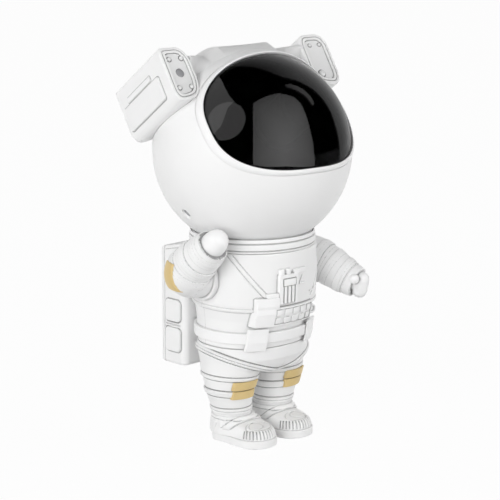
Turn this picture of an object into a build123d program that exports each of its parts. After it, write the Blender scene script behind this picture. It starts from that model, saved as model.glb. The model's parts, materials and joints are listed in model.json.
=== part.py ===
"""Astronaut-shaped star and nebula projector: a ball-shaped helmet that holds the light engine
and turns and tilts on a magnetic neck, on a hollow standing figure with a backpack.

Millimetres, +Z up, the figure faces -Y and its left hand is at +X.  The origin is on the floor
under the middle of the whole object.
"""
from build123d import *
import os
from math import cos, pi, radians, sin

os.makedirs("parts", exist_ok=True)

# ---------------------------------------------------------------- driving dimensions
# Where the neck's turning axis stands, measured from the middle of the whole object
neck_x = -1.64
neck_y = -0.41

# Helmet ball
head_radius = 56.0
head_height = 165.0
head_wall = 2.0
head_turn = 7.5
head_pitch = 35.0
helmet_seam = -36.0
seam_gap = 0.15

# Visor and its rim
visor_half_width = 46.3
visor_half_height = 36.2
visor_rise = 2.0
visor_inset = 0.4
visor_wall = 2.0
visor_flange = 4.0
rim_width = 3.3
rim_proud = 0.9
fit_gap = 0.1

# Light boxes on the sides of the helmet
box_outer = 58.0
box_inner = 39.5
box_top = 54.3
box_bottom = 21.8
box_front = 27.0
box_back = -24.0
box_wall = 1.6
box_corner = 2.2
face_recess = 1.2
face_thickness = 1.6

# Bridge across the top of the helmet, between the light boxes
bridge_high = 58.7
bridge_low = 54.7
bridge_plateau = 18.0
bridge_slope_end = 26.0
bridge_front_angle = 41.0
bridge_back_angle = -30.0

# Push buttons on the backs of the light boxes
button_width = 9.0
button_height = 14.0
button_travel = 0.6
button_gap = 0.3

# Light engine: wheel, gears, laser, lens
plate_at = 10.0
plate_thickness = 2.0
plate_radius = 47.0
wheel_drop = 20.0
wheel_radius = 27.5
wheel_at = 20.0
wheel_thickness = 1.2
gear_module = 1.0
drive_teeth = 40
star_teeth = 24
star_angle = 18.0
gear_at = 13.5
gear_thickness = 3.0
tooth_share = 0.42
shaft_radius = 1.5
running_gap = 0.06
baffle_at = 24.0
baffle_thickness = 1.4
baffle_radius = 44.0
barrel_radius = 12.0
barrel_wall = 2.0
barrel_front = 50.0
laser_radius = 4.0

# Neck
ball_gap = 0.35
magnet_radius = 12.0
magnet_thickness = 6.0
cup_wall = 1.8
cup_radius = 33.8
collar_bottom = 112.2
collar_top = 119.8
collar_inner = 33.9
collar_outer = 36.9

# Trunk: height, half width and half depth of the outside of each level
trunk_bottom = 57.1
trunk_top = 112.0
trunk_wall = 2.0
trunk_levels = [
    (trunk_bottom, 33.2, 29.0),
    (66.0, 33.6, 29.6),
    (79.0, 34.4, 30.6),
    (95.0, 35.0, 31.2),
    (104.0, 35.2, 32.8),
    (trunk_top, 35.2, 34.4),
]
back_flat = 26.0

# Hips and legs
hip_levels = [
    (57.0, 33.2, 29.0),
    (50.0, 33.0, 27.4),
    (44.0, 31.8, 24.0),
    (38.5, 28.0, 18.0),
]
leg_levels = [
    (52.0, 16.2, 15.6, 20.0),
    (41.0, 17.4, 15.6, 17.0),
    (31.0, 18.4, 14.4, 14.4),
    (21.0, 17.2, 12.0, 12.2),
    (15.0, 16.4, 11.3, 11.5),
]

# Boots
sole_thickness = 4.6
boot_centre = 14.6
boot_middle = -8.5
boot_width = 24.6
boot_length = 41.0
ankle_height = 15.0

# Belt, strap loops, chest console
belt_low = 59.5
belt_high = 66.0
belt_proud = 1.4
loop_centre = 19.0
loop_width = 10.0
loop_low = 55.5
loop_high = 69.0
console_proud = 1.6
key_size = 3.5
key_pitch = 5.8
key_columns = 5
key_rows = (75.2, 79.9)
key_proud = 0.7

# Arms
shoulder_y = 5.0
shoulder_height = 94.5
shoulder_radius = 13.0
shoulder_face = 35.6
shoulder_inside = 30.0
pivot_radius = 4.0
arm_gap = 0.15
clip_radius = 7.5
clip_thickness = 1.5
pad_thickness = 1.3

# Backpack
pack_half_width = 27.0
pack_front = 26.2
pack_back = 46.0
pack_bottom = 40.0
pack_top = 111.5
pack_wall = 1.8
pack_corner = 4.0

# Screws
screw_shank = 1.0
screw_head = 2.5
screw_well = 2.7
screw_head_height = 1.6
screw_length = 9.0


# ---------------------------------------------------------------- frames of reference
def spot(x, y, z):
    """A point given from the floor under the neck axis."""
    return Vector(neck_x + x, neck_y + y, z)


def level(z, x=0.0, y=0.0):
    """A horizontal plane through a point given from the neck axis."""
    return Plane(origin=spot(x, y, z))


def facing(direction, x, y, z):
    """A plane square to a direction, with its local y as near to upright as it can be."""
    normal = Vector(*direction).normalized()
    across = Vector(0, 0, 1).cross(normal)
    return Plane(origin=spot(x, y, z), x_dir=across, z_dir=normal)


turn = radians(head_turn)
pitch = radians(head_pitch)
# Helmet frame: local x to the figure's left, local y up through the crown, local z out of the visor
head = Plane(
    origin=spot(0, 0, head_height),
    x_dir=(cos(turn), -sin(turn), 0),
    z_dir=(-sin(turn) * cos(pitch), -cos(turn) * cos(pitch), sin(pitch)),
)
sides = {"right": -1, "left": 1}


def save(piece, name):
    """Label a finished piece and write it as its own file."""
    piece.part.label = name
    export_step(piece.part, f"parts/{name}.step")


def ellipse_stack(levels, skin=0.0, centre=0.0):
    """A loft through horizontal ellipses, each grown by skin."""
    with BuildPart() as stack:
        for height, half_width, half_depth in levels:
            with BuildSketch(level(height, centre)):
                Ellipse(half_width + skin, half_depth + skin)
        loft()
    return stack.part


def block_between(low, high):
    """An upright block between two corners given from the neck axis."""
    with BuildPart() as block:
        with BuildSketch(level(low[2], (low[0] + high[0]) / 2, (low[1] + high[1]) / 2)):
            Rectangle(high[0] - low[0], high[1] - low[1])
        extrude(amount=high[2] - low[2])
    return block.part


# ================================================================ HELMET
# ---- main helmet moulding: ball with an oval opening for the visor
well_direction = Vector(-0.826, -0.468, -0.315).normalized()
well_depth = 2.8
well_boss = 4.2
post_x = 38.0
post_y = -22.0
post_radius = 4.0
post_end = -17.0


def well_plane(side, distance):
    """A plane square to a screw well, at a distance from the ball's centre."""
    aim = Vector(-side * well_direction.X, well_direction.Y, well_direction.Z)
    centre = head.from_local_coords(aim * distance)
    return Plane(origin=centre, z_dir=head.from_local_coords(aim * (distance + 1)) - centre)


boss_end = head_radius - 4.2
with BuildPart(head) as helmet:
    Sphere(head_radius)
    Sphere(head_radius - head_wall, mode=Mode.SUBTRACT)
    for side in sides.values():
        with BuildSketch(well_plane(side, boss_end)):
            Circle(well_boss)
        extrude(amount=head_radius - head_wall + 0.6 - boss_end)
        with BuildSketch(well_plane(side, head_radius - well_depth)):
            Circle(screw_well)
        extrude(amount=well_depth + 1, mode=Mode.SUBTRACT)
        with BuildSketch(well_plane(side, boss_end - 1)):
            Circle(screw_shank + fit_gap)
        extrude(amount=well_depth + 4, mode=Mode.SUBTRACT)
    with BuildSketch(head):
        with Locations((0, visor_rise)):
            Ellipse(
                visor_half_width + rim_width + fit_gap,
                visor_half_height + rim_width + fit_gap,
            )
    extrude(amount=head_radius + 5, mode=Mode.SUBTRACT)
    split(bisect_by=head.offset(helmet_seam), keep=Keep.TOP)
save(helmet, "helmet")

# ---- cap that closes the back of the helmet, with the power inlet and the board's posts
socket_drop = 12.0
socket_width = 9.0
socket_height = 3.3
board_at = -44.0
board_thickness = 1.6
board_width = 35.0
board_height = 30.0
board_post_x = 13.0
board_post_y = 9.0
board_post_radius = 2.2
board_post_length = 6.8

lip_length = 3.0
lip_wall = 1.5
lip_outside = head_radius - head_wall - fit_gap
lip_low = -12.0

# The snap lip: a thin band of ball that reaches past the seam, left open towards the steel dish
with BuildPart(head) as snap_lip:
    Sphere(lip_outside)
    Sphere(lip_outside - lip_wall, mode=Mode.SUBTRACT)
    split(bisect_by=head.offset(helmet_seam + lip_length), keep=Keep.BOTTOM)
    split(bisect_by=head.offset(helmet_seam - seam_gap), keep=Keep.TOP)
with BuildPart(head) as lip_root:
    Sphere(lip_outside + fit_gap + 0.3)
    Sphere(lip_outside - lip_wall, mode=Mode.SUBTRACT)
    split(bisect_by=head.offset(helmet_seam - seam_gap), keep=Keep.BOTTOM)
    split(bisect_by=head.offset(helmet_seam - lip_length), keep=Keep.TOP)
with BuildPart() as lip_whole:
    add(snap_lip.part)
    add(lip_root.part)
    with BuildSketch(head.offset(helmet_seam - 2 * lip_length)):
        with Locations((0, lip_low - head_radius / 2)):
            Rectangle(2 * head_radius, head_radius)
    extrude(amount=4 * lip_length, mode=Mode.SUBTRACT)

with BuildPart() as helmet_back:
    with BuildPart(head, mode=Mode.PRIVATE) as back_cap:
        Sphere(head_radius)
        Sphere(head_radius - head_wall, mode=Mode.SUBTRACT)
        split(bisect_by=head.offset(helmet_seam - seam_gap), keep=Keep.BOTTOM)
    add(back_cap.part)
    add(lip_whole.part)
    with BuildSketch(head.offset(board_at - board_thickness)):
        with Locations((-board_post_x, board_post_y), (board_post_x, board_post_y)):
            Circle(board_post_radius)
    extrude(amount=-board_post_length)
    with BuildSketch(head.offset(board_at - board_thickness)):
        with Locations((0, -socket_drop)):
            RectangleRounded(socket_width + 0.6, socket_height + 0.6, 1.9)
    extrude(amount=-14.0, mode=Mode.SUBTRACT)
save(helmet_back, "helmet_back")

# ---- rim round the visor opening
with BuildPart(head) as visor_rim:
    Sphere(head_radius + rim_proud)
    Sphere(head_radius - head_wall + 0.2, mode=Mode.SUBTRACT)
    with BuildSketch(head):
        with Locations((0, visor_rise)):
            Ellipse(visor_half_width + rim_width, visor_half_height + rim_width)
            Ellipse(
                visor_half_width + fit_gap,
                visor_half_height + fit_gap,
                mode=Mode.SUBTRACT,
            )
    extrude(amount=head_radius + 5, mode=Mode.INTERSECT)
save(visor_rim, "visor_rim")

# ---- smoked visor, with a flange behind the rim
visor_outside = head_radius - visor_inset
flange_outside = head_radius - head_wall - fit_gap
with BuildPart(head) as visor:
    Sphere(visor_outside)
    Sphere(visor_outside - visor_wall, mode=Mode.SUBTRACT)
    with BuildSketch(head):
        with Locations((0, visor_rise)):
            Ellipse(visor_half_width, visor_half_height)
    extrude(amount=head_radius + 5, mode=Mode.INTERSECT)
with BuildPart(head) as visor_lip:
    Sphere(flange_outside)
    Sphere(flange_outside - visor_wall, mode=Mode.SUBTRACT)
    with BuildSketch(head):
        with Locations((0, visor_rise)):
            Ellipse(visor_half_width + visor_flange, visor_half_height + visor_flange)
            Ellipse(visor_half_width - 2.0, visor_half_height - 2.0, mode=Mode.SUBTRACT)
    extrude(amount=head_radius + 5, mode=Mode.INTERSECT)
with BuildPart() as visor_whole:
    add(visor.part)
    add(visor_lip.part)
save(visor_whole, "visor")

# ---- steel dish in the bottom of the helmet, which the neck magnet holds
dish_wall = 1.2
dish_half_width = 22.0
dish_half_length = 30.0
with BuildPart(head) as steel_dish:
    Sphere(head_radius - head_wall - fit_gap)
    Sphere(head_radius - head_wall - fit_gap - dish_wall, mode=Mode.SUBTRACT)
    with BuildSketch(Plane(origin=head.origin, x_dir=head.x_dir)):
        Ellipse(dish_half_width, dish_half_length)
    extrude(amount=-head_radius, mode=Mode.INTERSECT)
    split(bisect_by=head.offset(helmet_seam + lip_length + 0.5), keep=Keep.TOP)
save(steel_dish, "steel_dish")


# ---- bridge over the crown
def around_head(angle):
    """A plane through the helmet's cross axis, leaning forward by an angle from the crown."""
    lean = radians(angle)
    upward = head.y_dir * cos(lean) + head.z_dir * sin(lean)
    return Plane(origin=head.origin, x_dir=head.x_dir, z_dir=head.x_dir.cross(upward))


with BuildPart() as bridge:
    with BuildSketch(around_head(bridge_back_angle)):
        with BuildLine():
            Polyline(
                (-box_inner, 30.0),
                (-box_inner, bridge_low),
                (-bridge_slope_end, bridge_low),
                (-bridge_plateau, bridge_high),
                (bridge_plateau, bridge_high),
                (bridge_slope_end, bridge_low),
                (box_inner, bridge_low),
                (box_inner, 30.0),
                close=True,
            )
        make_face()
    revolve(
        axis=Axis(head.origin, head.x_dir),
        revolution_arc=bridge_front_angle - bridge_back_angle,
    )
with BuildPart(head) as ball_tool:
    Sphere(head_radius + 0.02)
with BuildPart(head) as rim_tool:
    with BuildSketch(head):
        with Locations((0, visor_rise)):
            Ellipse(
                visor_half_width + rim_width + 3 * fit_gap,
                visor_half_height + rim_width + 3 * fit_gap,
            )
    extrude(amount=head_radius + 9)


# ================================================================ LIGHT BOXES
def box_corners(side, inset=0.0):
    """Outline of a light box in the helmet's frame."""
    return [
        (side * (box_outer - inset), box_bottom + 4.2 + inset * 0.6),
        (side * (box_outer - inset), box_top - inset),
        (side * (box_inner + 4.8 + inset * 0.4), box_top - inset),
        (side * (box_inner + inset), box_top - 5.8 - inset * 0.4),
        (side * (box_inner + inset), box_bottom + 11.0 + inset * 0.4),
        (side * (box_inner + 5.3 + inset * 0.6), box_bottom + 1.4 + inset),
        (side * (box_outer - 3.0 - inset * 0.6), box_bottom + inset),
    ]


def box_outline(side, inset=0.0):
    """The outline as a face, with its corners rounded."""
    with BuildSketch() as outline:
        with BuildLine():
            Polyline(*box_corners(side, inset), close=True)
        make_face()
        fillet(outline.vertices(), radius=box_corner)
    return outline.sketch


box_middle_x = (box_outer + box_inner) / 2
box_middle_y = (box_top + box_bottom) / 2
pip_x = 3.9
pip_y = 8.8
pip_radius = 1.1
window_radius = 2.5
window_rise = 0.4
light_boxes = {}
for name, side in sides.items():
    with BuildPart() as light_box:
        with BuildSketch(head.offset(box_back)):
            add(box_outline(side))
        extrude(amount=box_front - box_back)
        with BuildSketch(head.offset(box_back)):
            add(box_outline(side, box_wall))
        extrude(amount=box_front - box_back, mode=Mode.SUBTRACT)
        add(ball_tool.part, mode=Mode.SUBTRACT)
        add(rim_tool.part, mode=Mode.SUBTRACT)
    light_boxes[name] = light_box
    save(light_box, f"{name}_light_box")


button_y = box_middle_y + 4.0
window_spot = (-box_middle_x, box_middle_y + window_rise)
with BuildPart() as box_faces:
    for side in sides.values():
        with BuildSketch(head.offset(box_front - face_recess - face_thickness)):
            add(box_outline(side, box_wall + fit_gap))
        extrude(amount=face_thickness)
        with BuildSketch(head.offset(box_front - face_recess)):
            with Locations((side * box_middle_x, box_middle_y + window_rise)):
                with Locations((-pip_x, pip_y), (pip_x, pip_y), (-pip_x, -pip_y), (pip_x, -pip_y)):
                    Circle(pip_radius)
        extrude(amount=0.6)
    with BuildSketch(head.offset(box_front - face_recess - face_thickness)):
        with Locations(window_spot):
            Circle(window_radius + fit_gap)
    extrude(amount=face_thickness, mode=Mode.SUBTRACT)
    add(ball_tool.part, mode=Mode.SUBTRACT)
save(box_faces, "box_faces")

with BuildPart() as box_covers:
    for side in sides.values():
        with BuildSketch(head.offset(box_back + face_recess)):
            add(box_outline(side, box_wall + fit_gap))
        extrude(amount=face_thickness)
        with BuildSketch(head.offset(box_back + face_recess)):
            with Locations((side * box_middle_x, button_y)):
                RectangleRounded(button_width, button_height, 2.0)
        extrude(amount=face_thickness, mode=Mode.SUBTRACT)
    add(ball_tool.part, mode=Mode.SUBTRACT)
save(box_covers, "box_covers")

# The bridge meets the inner walls of the two boxes, the ball and the rim
with BuildPart() as bridge_fitted:
    add(bridge.part)
    add(ball_tool.part, mode=Mode.SUBTRACT)
    add(rim_tool.part, mode=Mode.SUBTRACT)
    for side in sides.values():
        with BuildSketch(head.offset(box_back - 40)):
            add(box_outline(side, -0.05))
        extrude(amount=100, mode=Mode.SUBTRACT)
save(bridge_fitted, "crown_bridge")

# ---- raised panels on the outer sides of the boxes
panel_thickness = 0.9
panel_middle = 1.0
with BuildPart() as box_side_panels:
    for side in sides.values():
        wall = head.from_local_coords((side * box_outer, 0, 0))
        outward = head.x_dir * side
        with BuildSketch(Plane(origin=wall, x_dir=head.z_dir * -side, z_dir=outward)):
            with Locations((-side * panel_middle, box_middle_y - 1.6)):
                RectangleRounded(37.0, 19.0, 2.5)
        extrude(amount=panel_thickness)
save(box_side_panels, "box_side_panels")

# ---- push buttons and the switches behind them
plunger_length = 3.6
switch_gap = button_travel + 0.15
flange_thickness = 1.0
button_names = {"right": "nebula_button", "left": "star_button"}
cover_inside = box_back + face_recess + face_thickness
for name, side in sides.items():
    with BuildPart() as button:
        with BuildSketch(head.offset(box_back - 0.8)):
            with Locations((side * box_middle_x, button_y)):
                RectangleRounded(
                    button_width - 2 * button_gap, button_height - 2 * button_gap, 1.7
                )
        extrude(amount=cover_inside + 0.2 - box_back + 0.8)
        with BuildSketch(head.offset(cover_inside + 0.1)):
            with Locations((side * box_middle_x, button_y)):
                RectangleRounded(button_width + 1.6, button_height + 1.6, 2.0)
        extrude(amount=flange_thickness)
        with BuildSketch(head.offset(cover_inside + 0.1 + flange_thickness)):
            with Locations((side * box_middle_x, button_y)):
                Circle(1.6)
        extrude(amount=plunger_length)
    save(button, button_names[name])

switch_face = cover_inside + 0.1 + flange_thickness + plunger_length + switch_gap
switch_depth = 3.5
switch_size = 6.0
board_card = 1.2
card_width = 12.0
card_height = 12.0
with BuildPart() as key_boards:
    for side in sides.values():
        with BuildSketch(head.offset(switch_face)):
            with Locations((side * box_middle_x, button_y)):
                Circle(1.7)
        extrude(amount=1.0)
        with BuildSketch(head.offset(switch_face + 1.0)):
            with Locations((side * box_middle_x, button_y)):
                Rectangle(switch_size, switch_size)
        extrude(amount=switch_depth)
        with BuildSketch(head.offset(switch_face + 1.0 + switch_depth)):
            with Locations((side * (box_middle_x + 0.6), button_y + 0.6)):
                Rectangle(card_width, card_height)
        extrude(amount=board_card)
save(key_boards, "key_boards")

# ---- infrared receiver behind the round window in the right box
with BuildPart() as ir_window:
    with BuildSketch(head.offset(box_front - face_recess - face_thickness)):
        with Locations(window_spot):
            Circle(window_radius)
    extrude(amount=face_thickness - 0.4)
save(ir_window, "ir_window")
with BuildPart() as ir_receiver:
    receiver_face = box_front - face_recess - face_thickness - 0.3
    with BuildSketch(head.offset(receiver_face)):
        with Locations(window_spot):
            Rectangle(6.0, 7.0)
    extrude(amount=-3.0)
    with BuildSketch(head.offset(receiver_face - 3.0)):
        with Locations(window_spot):
            Rectangle(card_width, card_height)
    extrude(amount=-board_card)
save(ir_receiver, "ir_receiver")

# ================================================================ LIGHT ENGINE
standoffs = [(-30.0, 28.0), (30.0, 28.0), (33.0, -27.0), (-33.0, -27.0)]
standoff_radius = 2.5
light_tube_radius = 9.5
light_tube_bore = 7.5
led_at = -0.8
gear_distance = gear_module * (drive_teeth + star_teeth) / 2
star_x = gear_distance * cos(radians(star_angle))
star_y = -wheel_drop + gear_distance * sin(radians(star_angle))
plate_front = plate_at + plate_thickness

with BuildPart() as engine_frame:
    with BuildSketch(head.offset(plate_at)):
        Circle(plate_radius)
    extrude(amount=plate_thickness)
    with BuildSketch(head.offset(led_at)):
        Circle(light_tube_radius)
    extrude(amount=plate_at - led_at)
    with BuildSketch(head.offset(led_at)):
        Circle(light_tube_bore)
    extrude(amount=plate_front - led_at, mode=Mode.SUBTRACT)
    with BuildSketch(head.offset(plate_front)):
        with Locations(*standoffs):
            Circle(standoff_radius)
    extrude(amount=baffle_at - plate_front)
    with BuildSketch(head.offset(baffle_at)):
        with Locations(*standoffs):
            Circle(screw_shank)
    extrude(amount=-screw_length, mode=Mode.SUBTRACT)
    with BuildSketch(head.offset(post_end)):
        with Locations((-post_x, post_y), (post_x, post_y)):
            Circle(post_radius)
    extrude(amount=plate_at - post_end)
    with BuildSketch(head.offset(plate_at)):
        with Locations((0, -wheel_drop)):
            Circle(shaft_radius + 0.5)
        with Locations((star_x, star_y)):
            Circle(laser_radius + 0.02)
    extrude(amount=plate_thickness, mode=Mode.SUBTRACT)
    for side in sides.values():
        with BuildSketch(well_plane(side, head_radius - 13.0)):
            Circle(screw_shank)
        extrude(amount=8.0, mode=Mode.SUBTRACT)
save(engine_frame, "engine_frame")

# ---- lamp: LED on its board, finned heat sink behind it, collimating lens in front
led_board_thickness = 1.2
with BuildPart() as led_board:
    with BuildSketch(head.offset(led_at)):
        Circle(light_tube_radius)
    extrude(amount=-led_board_thickness)
    with BuildSketch(head.offset(led_at)):
        Rectangle(3.5, 3.5)
    extrude(amount=0.8)
save(led_board, "led_board")

sink_size = 20.0
sink_depth = 14.0
fin_count = 6
with BuildPart() as heat_sink:
    with BuildSketch(head.offset(led_at - led_board_thickness)):
        Rectangle(sink_size, sink_size)
    extrude(amount=-sink_depth)
    with BuildSketch(head.offset(led_at - led_board_thickness - 3.0)):
        with GridLocations(sink_size / fin_count, 0, fin_count - 1, 1):
            Rectangle(1.8, sink_size)
    extrude(amount=-sink_depth, mode=Mode.SUBTRACT)
save(heat_sink, "heat_sink")

with BuildPart() as collimator:
    with BuildSketch(head.offset(led_at + 1.2)):
        Circle(3.2)
    with BuildSketch(head.offset(plate_at - 1.0)):
        Circle(light_tube_bore - running_gap)
    loft()
    with BuildSketch(head.offset(plate_at - 1.0)):
        Circle(light_tube_bore - running_gap)
    extrude(amount=1.8)
save(collimator, "collimator_lens")

# ---- gear motor, its shaft, drive gear and the rippled nebula wheel
motor_radius = 7.5
motor_back = -8.0
with BuildPart() as motor:
    with BuildSketch(head.offset(motor_back)):
        with Locations((0, -wheel_drop)):
            Circle(motor_radius)
    extrude(amount=plate_at - motor_back)
    with BuildSketch(head.offset(2.0)):
        with Locations((0, -wheel_drop)):
            Circle(shaft_radius + running_gap)
    extrude(amount=plate_at, mode=Mode.SUBTRACT)
save(motor, "wheel_motor")

with BuildPart() as drive_shaft:
    with BuildSketch(head.offset(2.2)):
        with Locations((0, -wheel_drop)):
            Circle(shaft_radius)
    extrude(amount=wheel_at + wheel_thickness + 0.8 - 2.2)
save(drive_shaft, "drive_shaft")


def spur_gear(teeth, first_tooth):
    """Outline of a spur gear with straight-sided teeth, thinner than half the pitch."""
    pitch_radius = gear_module * teeth / 2
    root = pitch_radius - 1.25 * gear_module
    tip = pitch_radius + gear_module
    half = tooth_share * pi * gear_module / 2
    lean = 0.36
    with BuildSketch() as tooth:
        with BuildLine():
            Polyline(
                (root - 0.4, -half - lean * (pitch_radius - root)),
                (tip, -half + lean * gear_module),
                (tip, half - lean * gear_module),
                (root - 0.4, half + lean * (pitch_radius - root)),
                close=True,
            )
        make_face()
    with BuildSketch() as gear:
        Circle(root)
        with PolarLocations(0, teeth, start_angle=first_tooth):
            add(tooth.sketch)
    return gear.sketch


with BuildPart() as drive_gear:
    with BuildSketch(head.offset(gear_at)):
        with Locations((0, -wheel_drop)):
            add(spur_gear(drive_teeth, star_angle))
            with PolarLocations(12.0, 5):
                Circle(4.0, mode=Mode.SUBTRACT)
            Circle(shaft_radius, mode=Mode.SUBTRACT)
    extrude(amount=gear_thickness)
save(drive_gear, "drive_gear")

with BuildPart() as nebula_wheel:
    with BuildSketch(head.offset(wheel_at)):
        with Locations((0, -wheel_drop)):
            Circle(wheel_radius)
    extrude(amount=wheel_thickness)
    with BuildSketch(head.offset(gear_at + gear_thickness)):
        with Locations((0, -wheel_drop)):
            Circle(4.0)
    extrude(amount=wheel_at - gear_at - gear_thickness)
    with BuildSketch(head.offset(gear_at)):
        with Locations((0, -wheel_drop)):
            Circle(shaft_radius)
    extrude(amount=wheel_at, mode=Mode.SUBTRACT)
save(nebula_wheel, "nebula_wheel")

# ---- laser module, and the star grating that turns in front of it
laser_flange = 6.0
laser_front = gear_at + gear_thickness + 1.1
with BuildPart() as laser_module:
    with BuildSketch(head.offset(-4.0)):
        with Locations((star_x, star_y)):
            Circle(laser_radius)
    extrude(amount=laser_front + 4.0)
    with BuildSketch(head.offset(plate_front)):
        with Locations((star_x, star_y)):
            Circle(laser_flange)
    extrude(amount=gear_at - 0.1 - plate_front)
save(laser_module, "laser_module")

grating_radius = 5.5
with BuildPart() as star_gear:
    with BuildSketch(head.offset(gear_at)):
        with Locations((star_x, star_y)):
            add(spur_gear(star_teeth, star_angle + 180 + 180 / star_teeth))
    extrude(amount=gear_thickness)
    with BuildSketch(head.offset(gear_at + gear_thickness)):
        with Locations((star_x, star_y)):
            Circle(grating_radius + 1.0)
    extrude(amount=2.5)
    with BuildSketch(head.offset(gear_at)):
        with Locations((star_x, star_y)):
            Circle(laser_radius + running_gap)
    extrude(amount=gear_thickness + 2.0, mode=Mode.SUBTRACT)
    with BuildSketch(head.offset(gear_at + gear_thickness + 1.7)):
        with Locations((star_x, star_y)):
            Circle(grating_radius)
    extrude(amount=1.0, mode=Mode.SUBTRACT)
save(star_gear, "star_gear")
with BuildPart() as star_grating:
    with BuildSketch(head.offset(gear_at + gear_thickness + 1.7)):
        with Locations((star_x, star_y)):
            Circle(grating_radius)
    extrude(amount=0.6)
save(star_grating, "star_grating")

# ---- black plate behind the visor, with the lens barrel, rippled glass and front lens
with BuildPart() as baffle:
    with BuildSketch(head.offset(baffle_at)):
        Circle(baffle_radius)
        Circle(barrel_radius + 0.05, mode=Mode.SUBTRACT)
        with Locations((star_x, star_y)):
            Circle(3.0, mode=Mode.SUBTRACT)
        with Locations(*standoffs):
            Circle(screw_shank + fit_gap, mode=Mode.SUBTRACT)
    extrude(amount=baffle_thickness)
save(baffle, "lens_baffle")

baffle_front = baffle_at + baffle_thickness
# ---- self-tapping screws: two in the wells low on the helmet, four through the black plate
with BuildPart() as screws:
    for side in sides.values():
        with BuildSketch(well_plane(side, head_radius - well_depth)):
            Circle(screw_head)
        extrude(amount=screw_head_height)
        with BuildSketch(well_plane(side, head_radius - well_depth - screw_length)):
            Circle(screw_shank)
        extrude(amount=screw_length)
    with BuildSketch(head.offset(baffle_front)):
        with Locations(*standoffs):
            Circle(screw_head)
    extrude(amount=screw_head_height)
    with BuildSketch(head.offset(baffle_front)):
        with Locations(*standoffs):
            Circle(screw_shank)
    extrude(amount=-screw_length)
save(screws, "helmet_screws")

with BuildPart() as lens_barrel:
    with BuildSketch(head.offset(baffle_at)):
        Circle(barrel_radius)
    extrude(amount=barrel_front - baffle_at)
    with BuildSketch(head.offset(baffle_front)):
        Circle(barrel_radius + 3.0)
    extrude(amount=1.6)
    with BuildSketch(head.offset(baffle_at)):
        Circle(barrel_radius - barrel_wall)
    extrude(amount=barrel_front - baffle_at - 1.6, mode=Mode.SUBTRACT)
    with BuildSketch(head.offset(baffle_at)):
        Circle(barrel_radius - barrel_wall - 1.0)
    extrude(amount=barrel_front - baffle_at, mode=Mode.SUBTRACT)
save(lens_barrel, "lens_barrel")

lens_radius = barrel_radius - barrel_wall - running_gap
with BuildPart() as ripple_glass:
    with BuildSketch(head.offset(baffle_at + 2.0)):
        Circle(lens_radius)
    extrude(amount=2.0)
save(ripple_glass, "ripple_glass")

lens_edge = 2.0
lens_crown = 2.4
lens_seat = barrel_front - 1.6 - fit_gap
lens_curve = (lens_radius**2 + lens_crown**2) / (2 * lens_crown)
with BuildPart() as front_lens:
    with BuildSketch(head.offset(lens_seat)):
        Circle(lens_radius)
    extrude(amount=-lens_edge - lens_crown)
    with BuildPart(head.offset(lens_seat - lens_edge - lens_crown + lens_curve), mode=Mode.PRIVATE) as bowl:
        Sphere(lens_curve)
    add(bowl.part, mode=Mode.INTERSECT)
save(front_lens, "front_lens")

# ---- main board and power socket at the back of the helmet
with BuildPart() as main_board:
    with BuildSketch(head.offset(board_at)):
        Rectangle(board_width, board_height)
    extrude(amount=-board_thickness)
    with BuildSketch(head.offset(board_at)):
        with Locations((-6.0, 4.0)):
            Rectangle(9.0, 9.0)
        with Locations((8.0, -3.0)):
            Rectangle(6.0, 5.0)
    extrude(amount=1.4)
save(main_board, "main_board")

with BuildPart() as usb_socket:
    with BuildSketch(head.offset(board_at - board_thickness)):
        with Locations((0, -socket_drop)):
            RectangleRounded(socket_width, socket_height, 1.6)
    extrude(amount=-7.8)
    with BuildSketch(head.offset(board_at - board_thickness - 7.8)):
        with Locations((0, -socket_drop)):
            RectangleRounded(socket_width - 0.8, socket_height - 0.8, 1.2)
            RectangleRounded(socket_width - 2.6, 0.7, 0.3, mode=Mode.SUBTRACT)
    extrude(amount=6.2, mode=Mode.SUBTRACT)
save(usb_socket, "usb_socket")

# ================================================================ NECK
ball_bottom = head_height - head_radius
magnet_top = ball_bottom - ball_gap
magnet_bottom = magnet_top - magnet_thickness
with BuildPart() as neck_magnet:
    with BuildSketch(level(magnet_bottom)):
        Circle(magnet_radius)
    extrude(amount=magnet_thickness)
save(neck_magnet, "neck_magnet")

ball_clear = head_radius + ball_gap
with BuildPart(level(head_height)) as neck_cup:
    Sphere(ball_clear + cup_wall)
    with BuildSketch(level(ball_bottom - 12.0)):
        Circle(cup_radius)
    extrude(amount=collar_top - ball_bottom + 12.0, mode=Mode.INTERSECT)
    with BuildSketch(level(magnet_bottom - cup_wall)):
        Circle(magnet_radius + cup_wall)
    extrude(amount=magnet_thickness + cup_wall)
    with BuildSketch(level(trunk_top + 0.05)):
        Circle(cup_radius)
        Circle(cup_radius - 7.0, mode=Mode.SUBTRACT)
    extrude(amount=3.0)
    Sphere(ball_clear, mode=Mode.SUBTRACT)
    with BuildSketch(level(magnet_bottom)):
        Circle(magnet_radius + running_gap)
    extrude(amount=magnet_thickness + cup_wall, mode=Mode.SUBTRACT)
save(neck_cup, "neck_cup")

groove = 0.7
with BuildPart() as collar:
    with BuildSketch(level(collar_bottom)):
        Circle(collar_outer)
        Circle(collar_inner, mode=Mode.SUBTRACT)
    extrude(amount=collar_top - collar_bottom)
    fillet(collar.edges().filter_by(GeomType.CIRCLE).sort_by(SortBy.RADIUS)[-2:], radius=1.2)
    with BuildSketch(level(collar_bottom + 4.4)):
        Circle(collar_outer + 1)
        Circle(collar_outer - groove, mode=Mode.SUBTRACT)
    extrude(amount=groove, mode=Mode.SUBTRACT)
save(collar, "neck_collar")

# ================================================================ TRUNK
front_facing = facing((0, -1, 0), 0, 0, 0)


def trunk_form(skin=0.0):
    """The trunk's solid form grown by skin, flat at the back where the backpack sits."""
    with BuildPart() as form:
        add(ellipse_stack(trunk_levels, skin))
        split(bisect_by=facing((0, 1, 0), 0, back_flat + skin, 0), keep=Keep.BOTTOM)
    return form.part


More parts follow.
